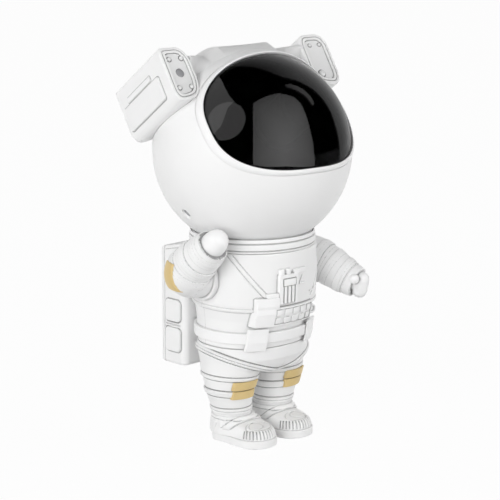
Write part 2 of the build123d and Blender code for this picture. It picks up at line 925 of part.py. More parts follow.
trunk_outside = trunk_form()
trunk_inside = trunk_form(-trunk_wall)
shoulder_hole = pivot_radius + running_gap
with BuildPart() as trunk_shell:
    add(trunk_outside)
    add(trunk_inside, mode=Mode.SUBTRACT)
    for side in sides.values():
        with BuildSketch(facing((side, 0, 0), side * shoulder_inside, shoulder_y, shoulder_height)):
            Circle(shoulder_radius - 0.4)
        extrude(amount=shoulder_face - shoulder_inside)
        with BuildSketch(facing((side, 0, 0), side * (shoulder_inside - 9), shoulder_y, shoulder_height)):
            Circle(shoulder_hole)
        extrude(amount=20.0, mode=Mode.SUBTRACT)
        with BuildSketch(facing((side, 0, 0), side * (shoulder_inside - 9), shoulder_y, shoulder_height)):
            Circle(clip_radius + 1.0)
        extrude(amount=9.0, mode=Mode.SUBTRACT)
with BuildPart() as torso_front:
    add(trunk_shell.part)
    split(bisect_by=facing((0, -1, 0), 0, shoulder_y, 0), keep=Keep.TOP)
save(torso_front, "torso_front")
with BuildPart() as torso_back:
    add(trunk_shell.part)
    split(bisect_by=facing((0, 1, 0), 0, shoulder_y, 0), keep=Keep.TOP)
save(torso_back, "torso_back")

# ---- hips and legs in one hollow moulding, made as a front and a back half


def leg_stack(side, skin):
    """One leg, a loft whose middle wanders from hip to ankle."""
    with BuildPart() as stack:
        for height, centre, half_width, half_depth in leg_levels:
            with BuildSketch(level(height, side * centre)):
                Ellipse(half_width + skin, half_depth + skin)
        loft()
    return stack.part


def leg_form(skin=0.0):
    """Hips and both legs as one solid form grown by skin."""
    with BuildPart() as form:
        add(ellipse_stack(hip_levels, skin))
        split(bisect_by=facing((0, 1, 0), 0, back_flat + skin, 0), keep=Keep.BOTTOM)
        for side in sides.values():
            add(leg_stack(side, skin))
    return form.part


leg_outside = leg_form()
leg_inside = leg_form(-trunk_wall)
with BuildPart() as leg_shell:
    add(leg_outside)
    add(leg_inside, mode=Mode.SUBTRACT)
leg_split = 0.0
with BuildPart() as legs_front:
    add(leg_shell.part)
    split(bisect_by=facing((0, -1, 0), 0, leg_split, 0), keep=Keep.TOP)
save(legs_front, "legs_front")
with BuildPart() as legs_back:
    add(leg_shell.part)
    split(bisect_by=facing((0, 1, 0), 0, leg_split, 0), keep=Keep.TOP)
save(legs_back, "legs_back")

# ---- gold knee pads, two strips on the front of each knee
knee_strips = ((26.6, 31.6), (32.1, 37.2))
knee_half_width = 9.6
leg_grown = leg_form(pad_thickness)
with BuildPart() as knee_pads:
    for side in sides.values():
        for low, high in knee_strips:
            strip = block_between(
                (side * 18.4 - knee_half_width, -30.0, low),
                (side * 18.4 + knee_half_width, -6.0, high),
            )
            add(strip)
    add(leg_grown, mode=Mode.INTERSECT)
    add(leg_form(0.03), mode=Mode.SUBTRACT)
save(knee_pads, "knee_pads")

# ================================================================ BOOTS
toe_round = boot_width / 2 - 0.4
peg_length = 4.0
with BuildPart() as soles:
    with BuildSketch(level(0, 0, boot_middle)):
        with Locations((-boot_centre, 0), (boot_centre, 0)):
            RectangleRounded(boot_width, boot_length, toe_round)
    extrude(amount=sole_thickness)
save(soles, "boot_soles")

for name, side in sides.items():
    x = side * boot_centre
    with BuildPart() as boot:
        with BuildSketch(level(sole_thickness, x, boot_middle)):
            RectangleRounded(boot_width - 0.8, boot_length - 0.8, toe_round - 0.4)
        with BuildSketch(level(sole_thickness + 5.0, x, boot_middle + 0.6)):
            RectangleRounded(boot_width - 1.6, boot_length - 2.6, toe_round - 0.8)
        loft()
        with BuildSketch(level(sole_thickness + 5.0, x, boot_middle + 0.6)):
            RectangleRounded(boot_width - 1.6, boot_length - 2.6, toe_round - 0.8)
        with BuildSketch(level(sole_thickness + 9.0, x, boot_middle + 5.0)):
            RectangleRounded(boot_width - 6.0, boot_length - 14.0, toe_round - 3.2)
        loft()
        ankle_x = side * leg_levels[-1][1]
        with BuildSketch(level(sole_thickness + 1.0, ankle_x)):
            Ellipse(leg_levels[-1][2] + 0.5, leg_levels[-1][3] + 0.6)
        extrude(amount=ankle_height - 0.05 - sole_thickness - 1.0)
        with BuildSketch(level(ankle_height - 1.0, ankle_x)):
            Circle(leg_levels[-1][2] - trunk_wall - 0.3)
        extrude(amount=peg_length)
    save(boot, f"{name}_boot")

# ================================================================ BELT AND CONSOLE
with BuildPart() as belt:
    add(block_between((-60, -60, belt_low), (60, back_flat - 0.3, belt_high)))
    add(trunk_form(belt_proud), mode=Mode.INTERSECT)
    add(trunk_form(0.03), mode=Mode.SUBTRACT)
save(belt, "belt")

loop_inside = (35.3, 31.3)
loop_thickness = 1.5
with BuildPart() as strap_loops:
    with BuildSketch(level(loop_low)):
        Ellipse(loop_inside[0] + loop_thickness, loop_inside[1] + loop_thickness)
        Ellipse(*loop_inside, mode=Mode.SUBTRACT)
    extrude(amount=loop_high - loop_low)
    with BuildSketch(facing((0, -1, 0), 0, 0, (loop_low + loop_high) / 2)):
        with Locations((-loop_centre, 0), (loop_centre, 0)):
            RectangleRounded(loop_width, loop_high - loop_low, 1.5)
    extrude(amount=60, mode=Mode.INTERSECT)
save(strap_loops, "strap_loops")

# ---- console on the chest: battery block, keypad plate and gauge module in one moulding
with BuildPart() as console:
    with BuildSketch(facing((0, -1, 0), 0, 0, 0)):
        with Locations((-16.2, 81.4)):
            RectangleRounded(14.0, 17.4, 0.8)
        with Locations((3.6, 77.5)):
            RectangleRounded(37.0, 10.2, 0.8)
        with Locations((-4.6, 91.5)):
            RectangleRounded(15.0, 19.0, 0.6)
    extrude(amount=60)
    add(trunk_form(console_proud), mode=Mode.INTERSECT)
    add(trunk_form(0.03), mode=Mode.SUBTRACT)

gauge_width = 1.3
with BuildPart() as gauges:
    with BuildSketch(facing((0, -1, 0), 0, 0, 0)):
        with Locations((-4.2, 96.6)):
            RectangleRounded(9.6, 4.6, 0.4)
        for column in range(3):
            with Locations((-7.2 + 3.0 * column, 89.5)):
                Rectangle(gauge_width, 8.6)
        with Locations((-10.3, 102.2), (-6.2, 102.2)):
            Circle(1.5)
        with Locations((0.4, 101.8)):
            RectangleRounded(9.0, 2.0, 0.8)
        with Locations((-16.0, 90.8)):
            RectangleRounded(6.4, 2.2, 0.6)
    extrude(amount=60)
    add(trunk_form(console_proud + 1.0), mode=Mode.INTERSECT)
    add(trunk_form(0.03), mode=Mode.SUBTRACT)
with BuildPart() as console_whole:
    add(console.part)
    add(gauges.part)
save(console_whole, "chest_console")

with BuildPart() as keys:
    with BuildSketch(facing((0, -1, 0), 0, 0, 0)):
        for row in key_rows:
            for column in range(key_columns):
                with Locations(((column - (key_columns - 1) / 2) * key_pitch, row)):
                    RectangleRounded(key_size, key_size, 0.5)
    extrude(amount=60)
    add(trunk_form(console_proud + key_proud), mode=Mode.INTERSECT)
    add(trunk_form(console_proud + 0.01), mode=Mode.SUBTRACT)
save(keys, "console_keys")

knob_radius = 2.1
with BuildPart() as knob:
    with BuildSketch(facing((0.62, -0.78, 0), 20.4, -25.0, 74.8)):
        Circle(knob_radius)
    extrude(amount=6.0)
    add(trunk_form(0.03), mode=Mode.SUBTRACT)
    add(console.part, mode=Mode.SUBTRACT)
save(knob, "console_knob")

# ================================================================ ARMS
# Each arm is a run of round sections: centre from the neck axis, direction, radius
right_arm_run = [
    ((-shoulder_face - arm_gap, 5.0, 94.5), (-1, 0, 0), 13.0),
    ((-40.5, 4.8, 94.9), (-1, -0.1, 0.15), 13.2),
    ((-46.4, 2.4, 98.0), (-0.55, -0.45, 0.7), 12.5),
    ((-48.6, -3.0, 104.6), (-0.1, -0.65, 0.75), 11.2),
    ((-48.2, -8.4, 110.6), (0.1, -0.7, 0.7), 10.0),
    ((-47.7, -11.4, 113.6), (0.12, -0.7, 0.7), 9.2),
]
left_arm_run = [
    ((shoulder_face + arm_gap, 5.0, 94.5), (1, 0, 0), 13.0),
    ((41.0, 3.6, 94.2), (0.95, -0.3, -0.06), 12.8),
    ((45.6, -3.8, 91.6), (0.6, -0.75, -0.3), 12.0),
    ((48.4, -12.0, 88.0), (0.45, -0.8, -0.4), 11.0),
    ((52.0, -19.0, 84.6), (0.42, -0.8, -0.42), 10.3),
    ((53.2, -21.4, 83.4), (0.42, -0.8, -0.42), 9.6),
]
arm_runs = {"right": right_arm_run, "left": left_arm_run}


def arm_form(run, skin=0.0):
    """Loft through the sections of an arm, each grown by skin."""
    with BuildPart() as form:
        for centre, direction, radius in run:
            with BuildSketch(facing(direction, *centre)):
                Circle(radius + skin)
        loft()
    return form.part


clip_face = shoulder_inside - fit_gap
for name, side in sides.items():
    with BuildPart() as arm:
        add(arm_form(arm_runs[name]))
        with BuildSketch(
            facing((side, 0, 0), side * (clip_face - clip_thickness), shoulder_y, shoulder_height)
        ):
            Circle(pivot_radius)
        extrude(amount=shoulder_face + arm_gap + 0.5 - clip_face + clip_thickness)
    save(arm, f"{name}_arm")

    with BuildPart() as clip:
        with BuildSketch(
            facing((side, 0, 0), side * (clip_face - clip_thickness), shoulder_y, shoulder_height)
        ):
            Circle(clip_radius)
            Circle(pivot_radius, mode=Mode.SUBTRACT)
        extrude(amount=clip_thickness)
    save(clip, f"{name}_arm_clip")

# ---- gold pad on the right elbow, the skin of the sleeve inside a slanted frame
with BuildPart() as elbow_pad:
    with BuildSketch(facing((-0.93, 0.3, -0.2), -46.5, 3.0, 96.0)):
        with Locations(Location((0, -1.5), 0)):
            RectangleRounded(10.0, 17.0, 1.0)
    extrude(amount=30)
    add(arm_form(right_arm_run, pad_thickness), mode=Mode.INTERSECT)
    add(arm_form(right_arm_run, 0.03), mode=Mode.SUBTRACT)
save(elbow_pad, "elbow_pad")

# ---- mittens: a palm that grows out of the cuff, and a thumb
palm_runs = {
    "right": [((-47.6, -11.6, 113.8), 6.6), ((-46.6, -15.8, 117.6), 6.6)],
    "left": [((53.4, -21.8, 83.2), 6.2), ((55.6, -26.4, 80.4), 5.6)],
}
thumb_spots = {"right": (-43.0, -12.4, 119.5), "left": (51.4, -29.2, 83.8)}
thumb_radius = 2.9
for name, side in sides.items():
    with BuildPart() as hand:
        (start, start_radius), (end, end_radius) = palm_runs[name]
        aim = Vector(*end) - Vector(*start)
        with BuildSketch(facing(tuple(aim), *start)):
            Circle(start_radius)
        with BuildSketch(facing(tuple(aim), *end)):
            Circle(end_radius)
        loft()
        with Locations(spot(*end)):
            Sphere(end_radius)
        with Locations(spot(*thumb_spots[name])):
            Sphere(thumb_radius)
        add(arm_form(arm_runs[name]), mode=Mode.SUBTRACT)
    save(hand, f"{name}_hand")

# ================================================================ BACKPACK
cover_thickness = 1.8
with BuildPart() as pack_block:
    add(
        block_between(
            (-pack_half_width, pack_front, pack_bottom), (pack_half_width, pack_back, pack_top)
        )
    )
    chamfer(pack_block.edges().filter_by(Axis.X).group_by(Axis.Y)[-1].sort_by(Axis.Z)[-1:], length=3.5)
    fillet(pack_block.edges().filter_by(Axis.Z), radius=pack_corner)
with BuildPart() as pack_shell:
    add(pack_block.part)
    hollow = block_between(
        (-pack_half_width + pack_wall, pack_front + pack_wall, pack_bottom + pack_wall),
        (pack_half_width - pack_wall, pack_back + 1, pack_top - pack_wall - 3.0),
    )
    add(hollow, mode=Mode.SUBTRACT)
save(pack_shell, "backpack_shell")

with BuildPart() as pack_cover:
    with BuildSketch(facing((0, 1, 0), 0, pack_back - cover_thickness, (pack_bottom + pack_top) / 2 - 1.5)):
        RectangleRounded(
            2 * (pack_half_width - pack_wall - fit_gap),
            pack_top - pack_bottom - 2 * pack_wall - 3.0 - 2 * fit_gap,
            0.5,
        )
    extrude(amount=cover_thickness)
    add(pack_block.part, mode=Mode.INTERSECT)
save(pack_cover, "backpack_cover")

with BuildPart() as pack_side_panels:
    for side in sides.values():
        with BuildSketch(facing((side, 0, 0), side * pack_half_width, (pack_front + pack_back) / 2, 0)):
            with Locations((0, 70.0)):
                RectangleRounded(11.6, 13.0, 2.4)
            with Locations((0, 54.0)):
                RectangleRounded(11.6, 15.0, 2.4)
            with Locations((0, 62.4)):
                Rectangle(11.6, 0.9)
        extrude(amount=1.0)
save(pack_side_panels, "backpack_side_panels")
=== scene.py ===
"""Looks of the astronaut-shaped star projector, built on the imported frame.

Every field and outline below is in millimetres.  Pieces of the figure are laid out from the foot of
the neck axis, pieces of the helmet from the centre of its ball (left, up through the crown, out of
the visor).
"""
import json
import math

import bmesh
import bpy
import numpy as np
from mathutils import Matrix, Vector


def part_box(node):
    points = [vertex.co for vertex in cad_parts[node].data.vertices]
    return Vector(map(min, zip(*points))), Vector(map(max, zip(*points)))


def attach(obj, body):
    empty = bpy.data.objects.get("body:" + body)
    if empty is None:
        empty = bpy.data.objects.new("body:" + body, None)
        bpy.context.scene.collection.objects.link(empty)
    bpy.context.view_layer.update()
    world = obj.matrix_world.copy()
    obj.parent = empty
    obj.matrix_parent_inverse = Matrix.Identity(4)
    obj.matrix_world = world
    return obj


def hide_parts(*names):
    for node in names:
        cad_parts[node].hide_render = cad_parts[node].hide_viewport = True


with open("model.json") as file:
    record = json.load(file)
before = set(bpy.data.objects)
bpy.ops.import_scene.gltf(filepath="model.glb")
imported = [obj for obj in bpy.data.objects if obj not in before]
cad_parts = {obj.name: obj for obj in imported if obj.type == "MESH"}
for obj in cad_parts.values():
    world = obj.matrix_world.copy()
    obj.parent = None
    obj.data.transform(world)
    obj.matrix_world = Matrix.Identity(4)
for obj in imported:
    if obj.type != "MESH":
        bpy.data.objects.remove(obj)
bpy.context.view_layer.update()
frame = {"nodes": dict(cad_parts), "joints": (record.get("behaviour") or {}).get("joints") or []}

joints = {joint["name"]: joint for joint in frame["joints"]}


# ================================================================ STUDIO
# A white sweep and two soft lamps round a tabletop product, seen through a long portrait lens.
# Curved cards stand round the helmet for the smoked visor to mirror, and nothing else sees them.
magnet_low, magnet_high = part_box("neck_magnet")
neck_axis = Vector(((magnet_low.x + magnet_high.x) / 2, (magnet_low.y + magnet_high.y) / 2, 0))
eye = neck_axis + Vector((-0.8540, -0.8532, 0.3711))
aim = neck_axis + Vector((-0.00089, 0.00089, 0.1070))
camera = bpy.data.objects.new("camera", bpy.data.cameras.new("camera"))
camera.location = eye
camera.rotation_euler = (aim - eye).to_track_quat("-Z", "Y").to_euler()
camera.data.lens = 157.46
camera.data.sensor_width = 36.0
camera.data.clip_end = 20
bpy.context.scene.collection.objects.link(camera)
bpy.context.scene.camera = camera
bpy.context.scene.view_settings.view_transform = "Standard"


lamp_size = 1.2


def soft_lamp(name, place, target, power):
    """A large square lamp turned to a target."""
    lamp = bpy.data.objects.new(name, bpy.data.lights.new(name, "AREA"))
    lamp.data.size = lamp_size
    lamp.data.energy = power
    lamp.location = place
    lamp.rotation_euler = (Vector(target) - Vector(place)).to_track_quat("-Z", "Y").to_euler()
    bpy.context.scene.collection.objects.link(lamp)
    lamp.visible_glossy = False
    lamp.visible_transmission = False


soft_lamp("key_lamp", (-1.8, -0.5, 0.55), (0, 0, 0.12), 19.8)
soft_lamp("fill_lamp", (1.35, -1.4, 0.45), (0, 0, 0.10), 14.0)

world = bpy.data.worlds.new("studio_air")
bpy.context.scene.world = world
world.use_nodes = True
air = world.node_tree
air.nodes.clear()
air_out = air.nodes.new("ShaderNodeOutputWorld")
air_mix = air.nodes.new("ShaderNodeMixShader")
air_soft = air.nodes.new("ShaderNodeBackground")
air_seen = air.nodes.new("ShaderNodeBackground")
air_path = air.nodes.new("ShaderNodeLightPath")
air_soft.inputs["Color"].default_value = (1, 1, 1, 1)
air_way = air.nodes.new("ShaderNodeTexCoord")
air_height = air.nodes.new("ShaderNodeSeparateXYZ")
air_level = air.nodes.new("ShaderNodeMapRange")
air_level.inputs["To Min"].default_value = 0.95
air_level.inputs["To Max"].default_value = 0.25
air.links.new(air_way.outputs["Generated"], air_height.inputs["Vector"])
air.links.new(air_height.outputs["Z"], air_level.inputs["Value"])
air.links.new(air_level.outputs["Result"], air_soft.inputs["Strength"])
air_seen.inputs["Color"].default_value = (1, 1, 1, 1)
air_seen.inputs["Strength"].default_value = 1.0
air_bare = air.nodes.new("ShaderNodeMath")
air_bare.operation = "MAXIMUM"
air_clear = air.nodes.new("ShaderNodeMath")
air_clear.operation = "MAXIMUM"
air.links.new(air_path.outputs["Is Camera Ray"], air_bare.inputs[0])
air.links.new(air_path.outputs["Is Glossy Ray"], air_bare.inputs[1])
air.links.new(air_bare.outputs["Value"], air_clear.inputs[0])
air.links.new(air_path.outputs["Is Transmission Ray"], air_clear.inputs[1])
air.links.new(air_clear.outputs["Value"], air_mix.inputs["Fac"])
air.links.new(air_soft.outputs["Background"], air_mix.inputs[1])
air.links.new(air_seen.outputs["Background"], air_mix.inputs[2])
air.links.new(air_mix.outputs["Shader"], air_out.inputs["Surface"])

floor_half = 6
floor_mesh = bpy.data.meshes.new("sweep")
floor_corners = [(x * floor_half, y * floor_half, 0) for x, y in ((-1, -1), (1, -1), (1, 1), (-1, 1))]
floor_mesh.from_pydata(floor_corners, [], [(0, 1, 2, 3)])
floor = bpy.data.objects.new("sweep", floor_mesh)
bpy.context.scene.collection.objects.link(floor)
sweep_paint = bpy.data.materials.new("sweep_paint")
sweep_paint.use_nodes = True
sweep = sweep_paint.node_tree
sweep.nodes.clear()
sweep_out = sweep.nodes.new("ShaderNodeOutputMaterial")
sweep_mix = sweep.nodes.new("ShaderNodeMixShader")
sweep_lit = sweep.nodes.new("ShaderNodeBsdfDiffuse")
sweep_white = sweep.nodes.new("ShaderNodeEmission")
sweep_share = sweep.nodes.new("ShaderNodeMath")
sweep_path = sweep.nodes.new("ShaderNodeLightPath")
sweep_lit.inputs["Color"].default_value = (0.80, 0.80, 0.80, 1)
sweep_share.operation = "MULTIPLY"
sweep_share.inputs[1].default_value = 0.96
sweep.links.new(sweep_path.outputs["Is Camera Ray"], sweep_share.inputs[0])
sweep.links.new(sweep_share.outputs["Value"], sweep_mix.inputs["Fac"])
sweep.links.new(sweep_lit.outputs["BSDF"], sweep_mix.inputs[1])
sweep.links.new(sweep_white.outputs["Emission"], sweep_mix.inputs[2])
sweep.links.new(sweep_mix.outputs["Shader"], sweep_out.inputs["Surface"])
floor_mesh.materials.append(sweep_paint)
floor.visible_glossy = False

# Black flags in front and white cards between them give the smoked visor its reflections.  They
# are seen by nothing but mirror reflections, and stand round the middle of the helmet.
helmet_middle = Vector(joints["head_tilt"]["pos_m"])


def studio_card(name, ways, distance, glow, middle_glow, middle=None, sheer=False):
    """A curved card held out along directions from the helmet, with its own glow at each corner."""
    points = [helmet_middle + Vector(way).normalized() * distance for way in ways]
    middle = (middle or sum(points, Vector()) / len(points) - helmet_middle).normalized()
    hub = helmet_middle + middle * distance
    rows = 8
    verts, level = [], []
    for r in range(1, rows + 1):
        for point, edge_glow in zip(points, glow):
            outward = (point - helmet_middle).normalized()
            turn = middle.angle(outward) * r / rows
            side = (outward - middle * outward.dot(middle)).normalized()
            verts.append(helmet_middle + (middle * math.cos(turn) + side * math.sin(turn)) * distance)
            level.append(middle_glow + (edge_glow - middle_glow) * (r / rows) ** 1.3)
    count = len(points)
    faces = []
    for r in range(rows - 1):
        for k in range(count):
            n = (k + 1) % count
            faces.append((r * count + k, r * count + n, (r + 1) * count + n, (r + 1) * count + k))
    verts.append(hub)
    level.append(middle_glow)
    faces += [(len(verts) - 1, k, (k + 1) % count) for k in range(count)]
    mesh = bpy.data.meshes.new(name)
    mesh.from_pydata(verts, [], faces)
    glow_layer = mesh.attributes.new("glow", "FLOAT", "POINT")
    glow_layer.data.foreach_set("value", level)
    card = bpy.data.objects.new(name, mesh)
    bpy.context.scene.collection.objects.link(card)
    card.visible_camera = False
    card.visible_diffuse = False
    card.visible_shadow = False
    paint = bpy.data.materials.new(name + "_paint")
    paint.use_nodes = True
    tree = paint.node_tree
    tree.nodes.clear()
    paint_out = tree.nodes.new("ShaderNodeOutputMaterial")
    paint_add = tree.nodes.new("ShaderNodeAddShader")
    paint_clear = tree.nodes.new("ShaderNodeBsdfTransparent")
    paint_lit = tree.nodes.new("ShaderNodeEmission")
    paint_level = tree.nodes.new("ShaderNodeAttribute")
    paint_level.attribute_name = "glow"
    paint_clear.inputs["Color"].default_value = (1, 1, 1, 1) if sheer else (0, 0, 0, 1)
    tree.links.new(paint_level.outputs["Fac"], paint_lit.inputs["Strength"])
    tree.links.new(paint_clear.outputs["BSDF"], paint_add.inputs[0])
    tree.links.new(paint_lit.outputs["Emission"], paint_add.inputs[1])
    tree.links.new(paint_add.outputs["Shader"], paint_out.inputs["Surface"])
    mesh.materials.append(paint)


def ring_of_ways(axis, spread, count):
    """Directions all round an axis, at an angle to it."""
    side = axis.cross(Vector((0, 0, 1))).normalized()
    up = side.cross(axis)
    return [
        axis * math.cos(spread) + (side * math.cos(turn) + up * math.sin(turn)) * math.sin(spread)
        for turn in (math.tau * k / count for k in range(count))
    ]


flag_axis = (eye - helmet_middle).normalized()
flag_points = 48
studio_card(
    "black_flag",
    ring_of_ways(flag_axis, math.radians(128), flag_points),
    2.6,
    [0.0] * flag_points,
    0.0,
    flag_axis,
)
studio_card(
    "right_wall_card",
    [
        (0.945, -0.246, -0.215), (0.958, -0.278, -0.03), (0.951, -0.266, 0.157), (0.918, -0.173, 0.357),
        (0.822, -0.110, 0.559), (0.729, -0.097, 0.678), (0.514, -0.057, 0.856), (0.431, 0.019, 0.902),
        (0.360, 0.190, 0.913), (0.193, 0.542, 0.818), (0.15, 0.80, 0.59), (0.60, 0.80, 0.1),
        (0.85, 0.5, -0.2),
    ],
    2.2,
    [0.30, 0.34, 0.33, 0.31, 0.32, 0.32, 0.26, 0.17, 0.10, 0.08, 0.30, 0.60, 0.45],
    0.40,
)
studio_card(
    "left_wall_card",
    [
        (-0.945, 0.056, 0.321), (-0.901, 0.004, 0.434), (-0.858, -0.051, 0.511), (-0.778, -0.055, 0.626),
        (-0.698, -0.037, 0.715), (-0.608, -0.010, 0.794), (-0.477, -0.057, 0.877), (-0.426, 0.091, 0.900),
        (-0.005, 0.565, 0.825), (-0.10, 0.80, 0.59), (-0.60, 0.75, 0.27), (-0.90, 0.40, 0.20),
    ],
    2.2,
    [0.85] * 12,
    0.85,
)
disc_middle = Vector((-0.779, -0.101, 0.619)).normalized()
disc_points = 64
disc_glow = 0.78
studio_card(
    "round_card",
    ring_of_ways(disc_middle, math.radians(21.5), disc_points),
    1.9,
    [disc_glow] * disc_points,
    disc_glow,
    sheer=True,
)
studio_card(
    "front_softbox",
    [
        (-0.687, -0.707, -0.172), (-0.630, -0.650, 0.425), (-0.324, -0.343, 0.882), (-0.045, -0.370, 0.928),
        (0.172, -0.384, 0.907), (0.314, -0.421, 0.851), (0.423, -0.465, 0.778), (0.473, -0.545, 0.692),
        (0.480, -0.647, 0.593), (0.480, -0.731, 0.485), (0.473, -0.799, 0.372), (0.474, -0.849, 0.234),
        (0.481, -0.876, 0.027), (0.499, -0.836, -0.227), (-0.166, -0.968, -0.187),
    ],
    1.9,
    [1.1, 0.95, 0.75, 0.75, 0.75, 0.75, 0.8, 0.95, 1.0, 1.0, 1.0, 1.0, 1.0, 1.0, 2.0],
    2.0,
    Vector((-0.101, -0.962, 0.255)),
)
studio_card(
    "strip_card",
    [
        (0.406, -0.229, 0.885), (0.517, -0.197, 0.833), (0.601, -0.222, 0.768), (0.674, -0.256, 0.693),
        (0.720, -0.318, 0.617), (0.732, -0.403, 0.549), (0.681, -0.468, 0.563), (0.668, -0.412, 0.620),
        (0.625, -0.364, 0.691), (0.562, -0.326, 0.760), (0.476, -0.294, 0.829), (0.405, -0.281, 0.870),
    ],
    1.8,
    [0.3, 0.5, 0.6, 0.65, 0.65, 0.5, 0.45, 0.5, 0.5, 0.4, 0.3, 0.25],
    0.55,
)

# ================================================================ TRUNK
# Hollow suit body of injection-moulded plastic in a front and a back half, glued along the sides.
# The straps, the rib and the armhole seams are moulded in.


def on_figure(points):
    """Millimetres from the foot of the neck axis to the row frame."""
    return points / 1000 + np.array([neck_axis.x, neck_axis.y, 0])


def hull_line(a, b, soft):
    """Two solids as one, with a soft fillet between them."""
    share = np.clip(0.5 + 0.5 * (b - a) / soft, 0, 1)
    return b + (a - b) * share - soft * share * (1 - share)


def cut_line(a, b, soft):
    """What two solids share, with a softly broken edge."""
    return -hull_line(-a, -b, soft)


def welt(distance, half, soft=0.4):
    """1 inside a strip either side of a line and 0 outside it, with soft shoulders."""
    t = np.clip((half + soft / 2 - np.abs(distance)) / soft, 0, 1)
    return t * t * (3 - 2 * t)


def rise(distance, soft=0.4):
    """0 before a line and 1 after it."""
    t = np.clip(distance / soft + 0.5, 0, 1)
    return t * t * (3 - 2 * t)


def plate_edge(u, v, half_u, half_v, corner):
    """Distance to the outline of a rectangle with round corners."""
    du, dv = np.abs(u) - half_u + corner, np.abs(v) - half_v + corner
    outside = np.hypot(np.maximum(du, 0), np.maximum(dv, 0))
    return outside + np.minimum(np.maximum(du, dv), 0) - corner


def oval(u, v, half_u, half_v):
    """Distance to an ellipse, near enough close to its outline."""
    k = np.sqrt((u / half_u) ** 2 + (v / half_v) ** 2)
    slope = np.sqrt((u / half_u**2) ** 2 + (v / half_v**2) ** 2) + 1e-4
    return k * (k - 1) / slope


def ball(x, y, z, centre, radius):
    """Distance to a ball."""
    return np.sqrt((x - centre[0]) ** 2 + (y - centre[1]) ** 2 + (z - centre[2]) ** 2) - radius


mouldings = []


def cast(name, field, low, high, step, place, body, material, stands_for):
    """Moulds a piece: the skin where a field is zero, as a closed mesh of quads."""
    axes = [np.arange(a - 2 * step, b + 3 * step, step) for a, b in zip(low, high)]
    grid = np.meshgrid(*axes, indexing="ij")
    value = field(*grid)
    inside = value < 0
    cells = tuple(n - 1 for n in value.shape)
    total = np.zeros(cells + (3,), np.float32)
    number = np.zeros(cells, np.int32)
    edges = []
    for axis in range(3):
        near = [slice(None)] * 3
        far = [slice(None)] * 3
        near[axis] = slice(0, -1)
        far[axis] = slice(1, None)
        a, b = value[tuple(near)], value[tuple(far)]
        crossed = inside[tuple(near)] != inside[tuple(far)]
        place_at = np.nonzero(crossed)
        share = a[crossed] / (a[crossed] - b[crossed])
        points = np.stack([grid[k][tuple(near)][crossed] for k in range(3)], 1)
        points[:, axis] += share * step
        edges.append((axis, np.stack(place_at, 1), inside[tuple(near)][crossed]))
        others = [k for k in range(3) if k != axis]
        for shift_a in (0, 1):
            for shift_b in (0, 1):
                cell = np.stack(place_at, 1)
                cell[:, others[0]] -= shift_a
                cell[:, others[1]] -= shift_b
                np.add.at(total, tuple(cell.T), points)
                np.add.at(number, tuple(cell.T), 1)
    used = number > 0
    index = np.full(cells, -1, np.int64)
    index[used] = np.arange(used.sum())
    verts = total[used] / number[used][:, None]
    quads = []
    for axis, at, was_inside in edges:
        others = [k for k in range(3) if k != axis]
        corners = []
        for shift_a, shift_b in ((0, 0), (1, 0), (1, 1), (0, 1)):
            cell = at.copy()
            cell[:, others[0]] -= shift_a
            cell[:, others[1]] -= shift_b
            corners.append(index[tuple(cell.T)])
        quad = np.stack(corners, 1)
        flip = was_inside if axis == 1 else ~was_inside
        quad[flip] = quad[flip][:, ::-1]
        quads.append(quad)
    quads = np.concatenate(quads)
    reach = step / 8
    for _ in range(3):
        here = field(*verts.T)
        slope = np.stack(
            [field(*(verts + d).T) - field(*(verts - d).T) for d in np.eye(3) * reach], 1
        ) / (2 * reach)
        move = here[:, None] * slope / ((slope**2).sum(1, keepdims=True) + 0.05)
        verts = verts - np.clip(move, -step / 2, step / 2)
    mesh = bpy.data.meshes.new(name)
    mesh.from_pydata(place(verts).tolist(), [], quads.tolist())
    slope /= np.linalg.norm(slope, axis=1, keepdims=True) + 1e-9
    mouldings.append((mesh, verts, slope, field, np.array(low), np.array(high)))
    finish_piece(name, mesh, body, material, stands_for)


crease_angle = 35


def finish_piece(name, mesh, body, material, stands_for, crease=crease_angle):
    """Smooths a mesh up to its creases, paints it and hangs it on its body."""
    mesh.validate()
    mesh.shade_smooth()
    mesh.set_sharp_from_angle(angle=math.radians(crease))
    mesh.materials.append(material)
    piece = bpy.data.objects.new(name, mesh)
    bpy.context.scene.collection.objects.link(piece)
    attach(piece, body)
    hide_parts(*stands_for)
    return piece


